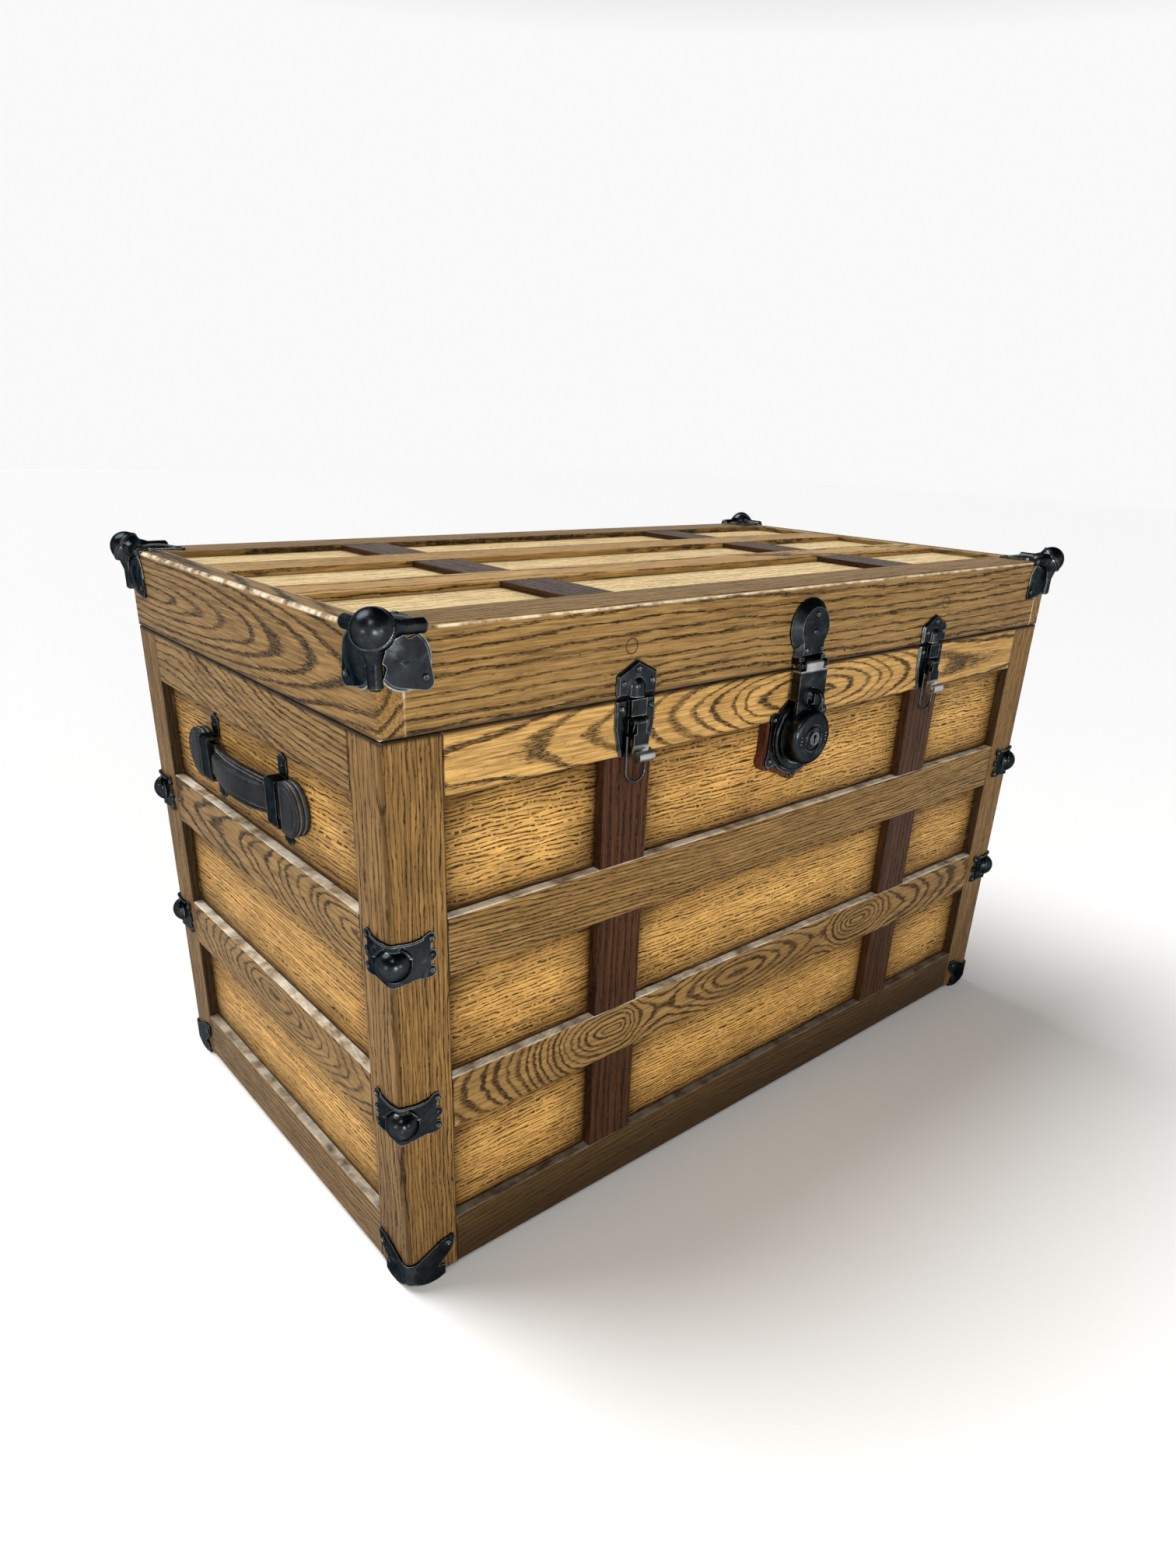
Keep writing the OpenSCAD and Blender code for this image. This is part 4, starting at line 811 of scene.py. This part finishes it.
# each seat is a place, its angles and its size
def scatter(name, kind, seats, finish, spin, seed):
    mesh = newMesh(name + "Seats", [seat[0] for seat in seats])
    for label, pick in (("turn", 1), ("size", 2)):
        layer = mesh.attributes.new(label, "FLOAT_VECTOR", "POINT")
        layer.data.foreach_set("vector", [c for seat in seats for c in seat[pick]])
    carrier = addObject(name + "Seats", mesh)
    head = addObject(kind + "Head", headMeshes[kind])
    modifier = carrier.modifiers.new("heads", "NODES")
    modifier.node_group = scatterHeads
    sockets = scatterHeads.interface.items_tree
    inputs = {item.name: item.identifier for item in sockets if item.in_out == "INPUT"}
    for label, value in (("Head", head), ("Finish", finish), ("Spin", spin), ("Seed", seed)):
        modifier[inputs[label]] = value
    result = bpy.data.meshes.new_from_object(carrier.evaluated_get(bpy.context.evaluated_depsgraph_get()))
    result.name = name
    for one in (carrier, head):
        bpy.data.objects.remove(one)
    return addObject(name, result)


# seat on a node's surface, found by looking along a line at a place on the wood
def seatOn(node, start, along, radius):
    along = Vector(along)
    found, place, normal, _ = nodes[node].ray_cast(Vector(start) - along * sight, along)
    if not found:
        raise ValueError(f"no surface of {node} at {start}")
    turn = normal.to_track_quat("Z", "Y").to_euler()
    return tuple(place), tuple(turn), (radius, radius, radius)


def frontSeat(node, x, z, radius):
    return seatOn(node, (x, frontFace, z), (0, 1, 0), radius)


# seat so far from an upright corner, on the long face or round on the end
def cornerSeat(node, corner, off, z, radius, onEnd=False):
    sideX, sideY = corner
    cornerX, cornerY = sideX * halfLong, woodShift + sideY * halfDeep
    if onEnd:
        return seatOn(node, (cornerX, cornerY - sideY * off, z), (-sideX, 0, 0), radius)
    return seatOn(node, (cornerX - sideX * off, cornerY, z), (0, -sideY, 0), radius)


sight = 0.07  # how far off the wood a look at it starts
screwR = 0.0031
smallScrewR = 0.0026
latchX = 0.22
cornerScrew = 0.038

caseScrews, lidScrews, caseRivets, lidRivets = [], [], [], []
for side in (-1, 1):
    for x, z in ((0.0, 0.5325), (-0.0155, 0.5215), (0.0155, 0.5215)):
        lidScrews.append(frontSeat("latch_keepers", side * latchX + x, z, screwR))
    for x in (-0.0165, 0.0165):
        caseScrews.append(frontSeat("latch_plates", side * latchX + x, 0.5005, screwR))
    lidScrews.append(frontSeat("lock_leaf", side * 0.0115, 0.5265, smallScrewR))
    for x, z in ((0.037, 0.461), (0.0385, 0.42)):
        caseScrews.append(frontSeat("lock_plate", side * x, z, smallScrewR))
lidScrews.append(frontSeat("lock_leaf", 0.0, 0.559, screwR))
lidRivets.append(frontSeat("lock_leaf", 0.0, 0.543, 0.0034))

for corner in ((-1, -1), (-1, 1), (1, -1), (1, 1)):
    for onEnd in (False, True):
        lidScrews.append(cornerSeat("ball_corners", corner, cornerScrew, 0.5496, screwR, onEnd))
    x, y = corner[0] * (halfLong - cornerScrew), woodShift + corner[1] * (halfDeep - cornerScrew)
    lidScrews.append(seatOn("ball_corners", (x, y, lidTop), (0, 0, -1), screwR))
    for middle in (0.1825, 0.3325):
        for off, z in ((0.0346, 0.0146), (0.0345, -0.0131)):
            caseScrews.append(cornerSeat("slat_clamps", corner, off, middle + z, screwR))
        caseRivets.append(cornerSeat("slat_clamps", corner, 0.0352, middle + 0.0004, 0.0029))
        for z in (0.0146, 0.0004, -0.0131):
            caseScrews.append(cornerSeat("slat_clamps", corner, 0.0347, middle + z, screwR, onEnd=True))
    for onEnd, z in ((False, 0.0365), (True, 0.0325)):
        caseScrews.append(cornerSeat("bottom_corners", corner, 0.0395, z, screwR, onEnd))
for hingeX in (-0.3, 0.0, 0.3):
    for x in (-0.021, 0.0, 0.021):
        for node, z, screws in (("hinge_case_leaves", 0.486, caseScrews),
                                ("hinge_lid_leaves", 0.531, lidScrews)):
            screws.append(seatOn(node, (hingeX + x, backFace, z), (0, -1, 0), screwR))

handleY, handleZ = 0.018075, 0.409
for side, name in ((-1, "left"), (1, "right")):
    for y in (-0.075, 0.075):
        for z in (-0.0315, 0.0315):
            for share, radius in ((1.0, 0.0027), (1.3, 0.0012)):
                start = (side * halfLong, handleY + y, handleZ + z * share)
                caseRivets.append(seatOn(name + "_handle_loops", start, (-side, 0, 0), radius))
haspDots = [frontSeat("hasp", x, z, 0.0008) for x in (-0.0185, 0.0185) for z in (0.4386, 0.442, 0.4454)]

black = steelFinish["blackSteel"]
anyTurn = 6.28
headSets = [  # name, kind, seats, finish, body, spin, seed
    ("caseScrewHeads", "screw", caseScrews, black, "case", anyTurn, 4),
    ("lidScrewHeads", "screw", lidScrews, black, "lid", anyTurn, 9),
    ("caseRivetHeads", "rivet", caseRivets, black, "case", 0.0, 2),
    ("lidRivetHeads", "rivet", lidRivets, steelFinish["rubbedSteel"], "lid", 0.0, 5),
    ("haspDotHeads", "rivet", haspDots, steelFinish["wornSteel"], "hasp", 0.0, 6),
]
for name, kind, seats, finish, body, spin, seed in headSets:
    piece = scatter(name, kind, seats, finish, spin, seed)
    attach(piece, body)
print("screws and rivets set")


# leather handles: a stitched grip with a raised middle, and a layered round end beyond each loop

handleShape = {
    "half": 0.088, "bow": 0.008, "bowHalf": 0.063, "strap": (0.0042, 0.0088), "gripHalf": 0.019,
    "loopHalf": 0.0148, "swellHalf": 0.066, "crown": 0.0068, "crownHalf": 0.06, "blend": 0.012,
    "stations": 120, "rimDrop": 0.0006, "tuck": 0.0012, "hollow": 0.0004, "endMiddle": 0.0976,
    "endRadius": 0.0248, "endFlat": 0.0857, "edgeSteps": 15,
    "stitches": 46, "stitchHalf": 0.0578, "stitchRow": 7,
}
panelDepth = 0.0095
endPanelFace = halfLong - panelDepth
stitchSize = (0.00045, 0.00085, 0.0006)
stitchLift = 0.0001


def smoothStep(value):
    value = max(0.0, min(1.0, value))
    return value * value * (3 - 2 * value)


# an arch that is 1 in the middle and 0 at its ends
def arch(y, half):
    return max(0.0, 1 - (y / half) ** 2)


def stripMesh(rows):
    width = len(rows[0])
    points = [p for row in rows for p in row]
    faces = []
    for r in range(len(rows) - 1):
        for c in range(width):
            d = (c + 1) % width
            faces.append((r * width + c, r * width + d, (r + 1) * width + d, (r + 1) * width + c))
    faces.append(tuple(reversed(range(width))))
    faces.append(tuple(range((len(rows) - 1) * width, len(rows) * width)))
    return points, faces


# half section from the rim to the middle: share of the half height, flange lift, crown share
gripSection = [(1.0, 0.0, 0.0), (0.985, 0.0009, 0.0), (0.955, 0.0013, 0.0), (0.92, 0.0012, 0.0),
               (0.89, 0.0005, 0.0), (0.86, 0.0001, 0.0), (0.8, 0.0, 0.0), (0.75, -0.0002, 0.0),
               (0.71, -0.0011, 0.0), (0.68, -0.0014, 0.02), (0.655, -0.0008, 0.14), (0.635, 0.0, 0.34),
               (0.61, 0.0, 0.56), (0.58, 0.0, 0.74), (0.53, 0.0, 0.87), (0.45, 0.0, 0.95),
               (0.33, 0.0, 0.985), (0.17, 0.0, 0.998), (0.0, 0.0, 1.0)]
fullSection = gripSection + [(-s, lift, crown) for s, lift, crown in reversed(gripSection[:-1])]


# the points round the strap at one place along it
def gripRow(y):
    shape = handleShape
    inGrip = smoothStep((shape["bowHalf"] - 0.001 - abs(y)) / shape["blend"])
    half = shape["loopHalf"] + (shape["gripHalf"] - shape["loopHalf"]) * arch(y, shape["swellHalf"]) ** 0.8
    bow = shape["bow"] * arch(y, shape["bowHalf"])
    low, high = (off + bow for off in shape["strap"])
    crown = shape["crown"] * inGrip * (0.72 + 0.28 * arch(y, shape["crownHalf"]))
    row = []
    for share, lift, rise in fullSection:
        drop = shape["rimDrop"] * (abs(share) > 0.99)
        row.append((high - drop + lift * inGrip + crown * rise, y, share * half))
    for share in (-1.0, -0.97, -0.6, -0.2, 0.2, 0.6, 0.97, 1.0):
        tuck, hollow = shape["tuck"] * (abs(share) == 1.0), shape["hollow"] * (abs(share) < 0.7)
        row.append((low + tuck - hollow, y, share * half * 0.995))
    return row


def endOutline(inset, count=56):
    shape = handleShape
    radius, flat, middle = shape["endRadius"] - inset, shape["endFlat"] + inset, shape["endMiddle"]
    corner = math.acos((flat - middle) / radius)
    turns = [-corner + 2 * corner * i / (count - 1) for i in range(count)]
    arc = [(middle + radius * math.cos(t), radius * math.sin(t)) for t in turns]
    top, low = arc[-1][1], arc[0][1]
    steps = shape["edgeSteps"]
    edge = [(flat, top + (low - top) * i / steps) for i in range(1, steps)]
    return arc + edge


# three layers with rounded rims, the outer one with a tooled ring
endProfile = [(0.0034, 0.0006), (0.0012, 0.0007), (0.0002, 0.0018), (0.0002, 0.0034), (0.0012, 0.0045),
              (0.0019, 0.0049), (0.0011, 0.0054), (0.0001, 0.0064), (0.0001, 0.0078), (0.0011, 0.0089),
              (0.0019, 0.0093), (0.0012, 0.0098), (0.0004, 0.0107), (0.0004, 0.0118), (0.0014, 0.0128),
              (0.003, 0.0133), (0.0042, 0.0131), (0.0046, 0.0126), (0.0052, 0.0126), (0.0058, 0.0132),
              (0.008, 0.0137), (0.0105, 0.0139)]


def buildHandle(name, side):
    shape = handleShape
    count = shape["stations"]
    parts = [stripMesh([gripRow(shape["half"] * (2 * i / count - 1)) for i in range(count + 1)])]
    for end in (-1, 1):
        rows = [[(height, end * u, v) for u, v in endOutline(inset)] for inset, height in endProfile]
        points, faces = stripMesh(rows)
        if end > 0:
            faces = [tuple(reversed(f)) for f in faces]
        parts.append((points, faces))
    points, faces = [], []
    for partPoints, partFaces in parts:
        start = len(points)
        points += [(side * (endPanelFace + off), handleY + y, handleZ + z) for off, y, z in partPoints]
        faces += [tuple(i + start for i in (f if side > 0 else reversed(f))) for f in partFaces]
    mesh = newMesh(name, points, faces)
    mesh.materials.append(leather)
    return addObject(name, mesh)


def stitchSeats(side):
    shape = handleShape
    seats = []
    last = shape["stitches"] - 1
    for i in range(shape["stitches"]):
        row = gripRow(shape["stitchHalf"] * (2 * i / last - 1))
        for pick in (shape["stitchRow"], len(fullSection) - 1 - shape["stitchRow"]):
            off, y, z = row[pick]
            place = (side * (endPanelFace + off + stitchLift), handleY + y, handleZ + z)
            seats.append((place, (0.0, side * math.pi / 2, 0.0), stitchSize))
    return seats


def threadMaterial():
    material, tree, shader = newMaterial("waxedThread", Roughness=0.4)
    twist = noise(tree, texCoord(tree, "Object"), 900.0)
    plug(tree, mixColour(tree, twist, (0.16, 0.15, 0.13), (0.4, 0.38, 0.33)), shader.inputs["Base Color"])
    return material


thread = threadMaterial()
for side, name in ((-1, "left"), (1, "right")):
    strap = buildHandle(name + "LeatherStrap", side)
    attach(strap, name + "_handle")
    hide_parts(name + "_handle")
    stitches = scatter(name + "GripStitches", "stitch", stitchSeats(side), thread, 0.0, 3)
    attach(stitches, name + "_handle")
print("handles finished")


# room, light and camera

room = {
    "floorColour": (0.93, 0.93, 0.93), "floorSize": 14.0,
    # the sky's light by the sine of the height above the horizon
    "sky": [(0.0, 0.95), (0.28, 0.95), (0.46, 0.12), (1.0, 0.05)],
    "sun": {"from": (-0.44, 0.86), "height": 55.0, "strength": 3.15, "angle": 40.0},
    "lamps": [  # place, aim, size, power, colour
        ((-0.9, -1.9, 0.5), (-0.3, -0.2, 0.33), 0.34, 13.0, (1.0, 0.96, 0.89)),
        ((0.1, -2.4, 0.7), (0.1, -0.2, 0.35), 0.24, 5.5, (1.0, 0.96, 0.9)),
        ((-2.3, -0.7, 0.6), (-0.4, 0.0, 0.35), 0.24, 4.5, (1.0, 0.96, 0.9)),
        ((-1.2, -1.2, 1.9), (-0.4, -0.2, 0.5), 0.34, 6.0, (1.0, 0.97, 0.92)),
    ],
}


def paleSky():
    world = bpy.data.worlds.new("paleRoom")
    world.use_nodes = True
    tree = world.node_tree
    up = splitVector(tree, texCoord(tree, "Generated"))[2]
    plug(tree, ramp(tree, up, room["sky"]), tree.nodes["Background"].inputs["Color"])
    bpy.context.scene.world = world


def addLamp(name, kind, place, aim, **settings):
    light = bpy.data.lights.new(name, kind)
    for key, value in settings.items():
        setattr(light, key, value)
    lamp = addObject(name, light)
    lamp.location = place
    lamp.rotation_euler = (Vector(aim) - Vector(place)).to_track_quat("-Z", "Y").to_euler()


def buildRoom():
    s = room["floorSize"]
    mesh = newMesh("floor", [(-s, -s, 0), (s, -s, 0), (s, s, 0), (-s, s, 0)], [(0, 1, 2, 3)])
    floor = addObject("floor", mesh)
    mesh.materials.append(newMaterial("paleFloor", Base_Color=(*room["floorColour"], 1), Roughness=0.85)[0])
    for i, (place, aim, size, power, colour) in enumerate(room["lamps"]):
        addLamp(f"softLamp{i}", "AREA", place, aim, shape="DISK", size=size, energy=power, color=colour)
    sun = room["sun"]
    height = math.radians(sun["height"])
    side = Vector(sun["from"]).normalized() * math.cos(height)
    place = (side[0], side[1], math.sin(height))
    addLamp("windowSun", "SUN", place, (0, 0, 0), energy=sun["strength"], angle=math.radians(sun["angle"]))
    paleSky()
    bpy.context.scene.view_settings.view_transform = "Standard"


photoView = {
    "place": (-0.7689, -0.8322, 0.7100),
    "right": (0.76077, -0.64803, 0.03597),
    "down": (-0.23804, -0.33016, -0.91342),
    "forward": (0.60379, 0.68633, -0.40544),
    "lens": 22.61, "shiftX": -0.0072, "shiftY": 0.0526,
}


def addCamera():
    data = bpy.data.cameras.new("photoCamera")
    data.sensor_width = 36.0
    data.lens = photoView["lens"]
    data.shift_x = photoView["shiftX"]
    data.shift_y = photoView["shiftY"]
    data.clip_start = 0.02
    camera = addObject("photoCamera", data)
    right, down, forward = (Vector(photoView[k]) for k in ("right", "down", "forward"))
    turn = Matrix((right, -down, -forward)).transposed()
    camera.matrix_world = Matrix.Translation(photoView["place"]) @ turn.to_4x4()
    bpy.context.scene.camera = camera


buildRoom()
addCamera()
print("room, light and camera set")
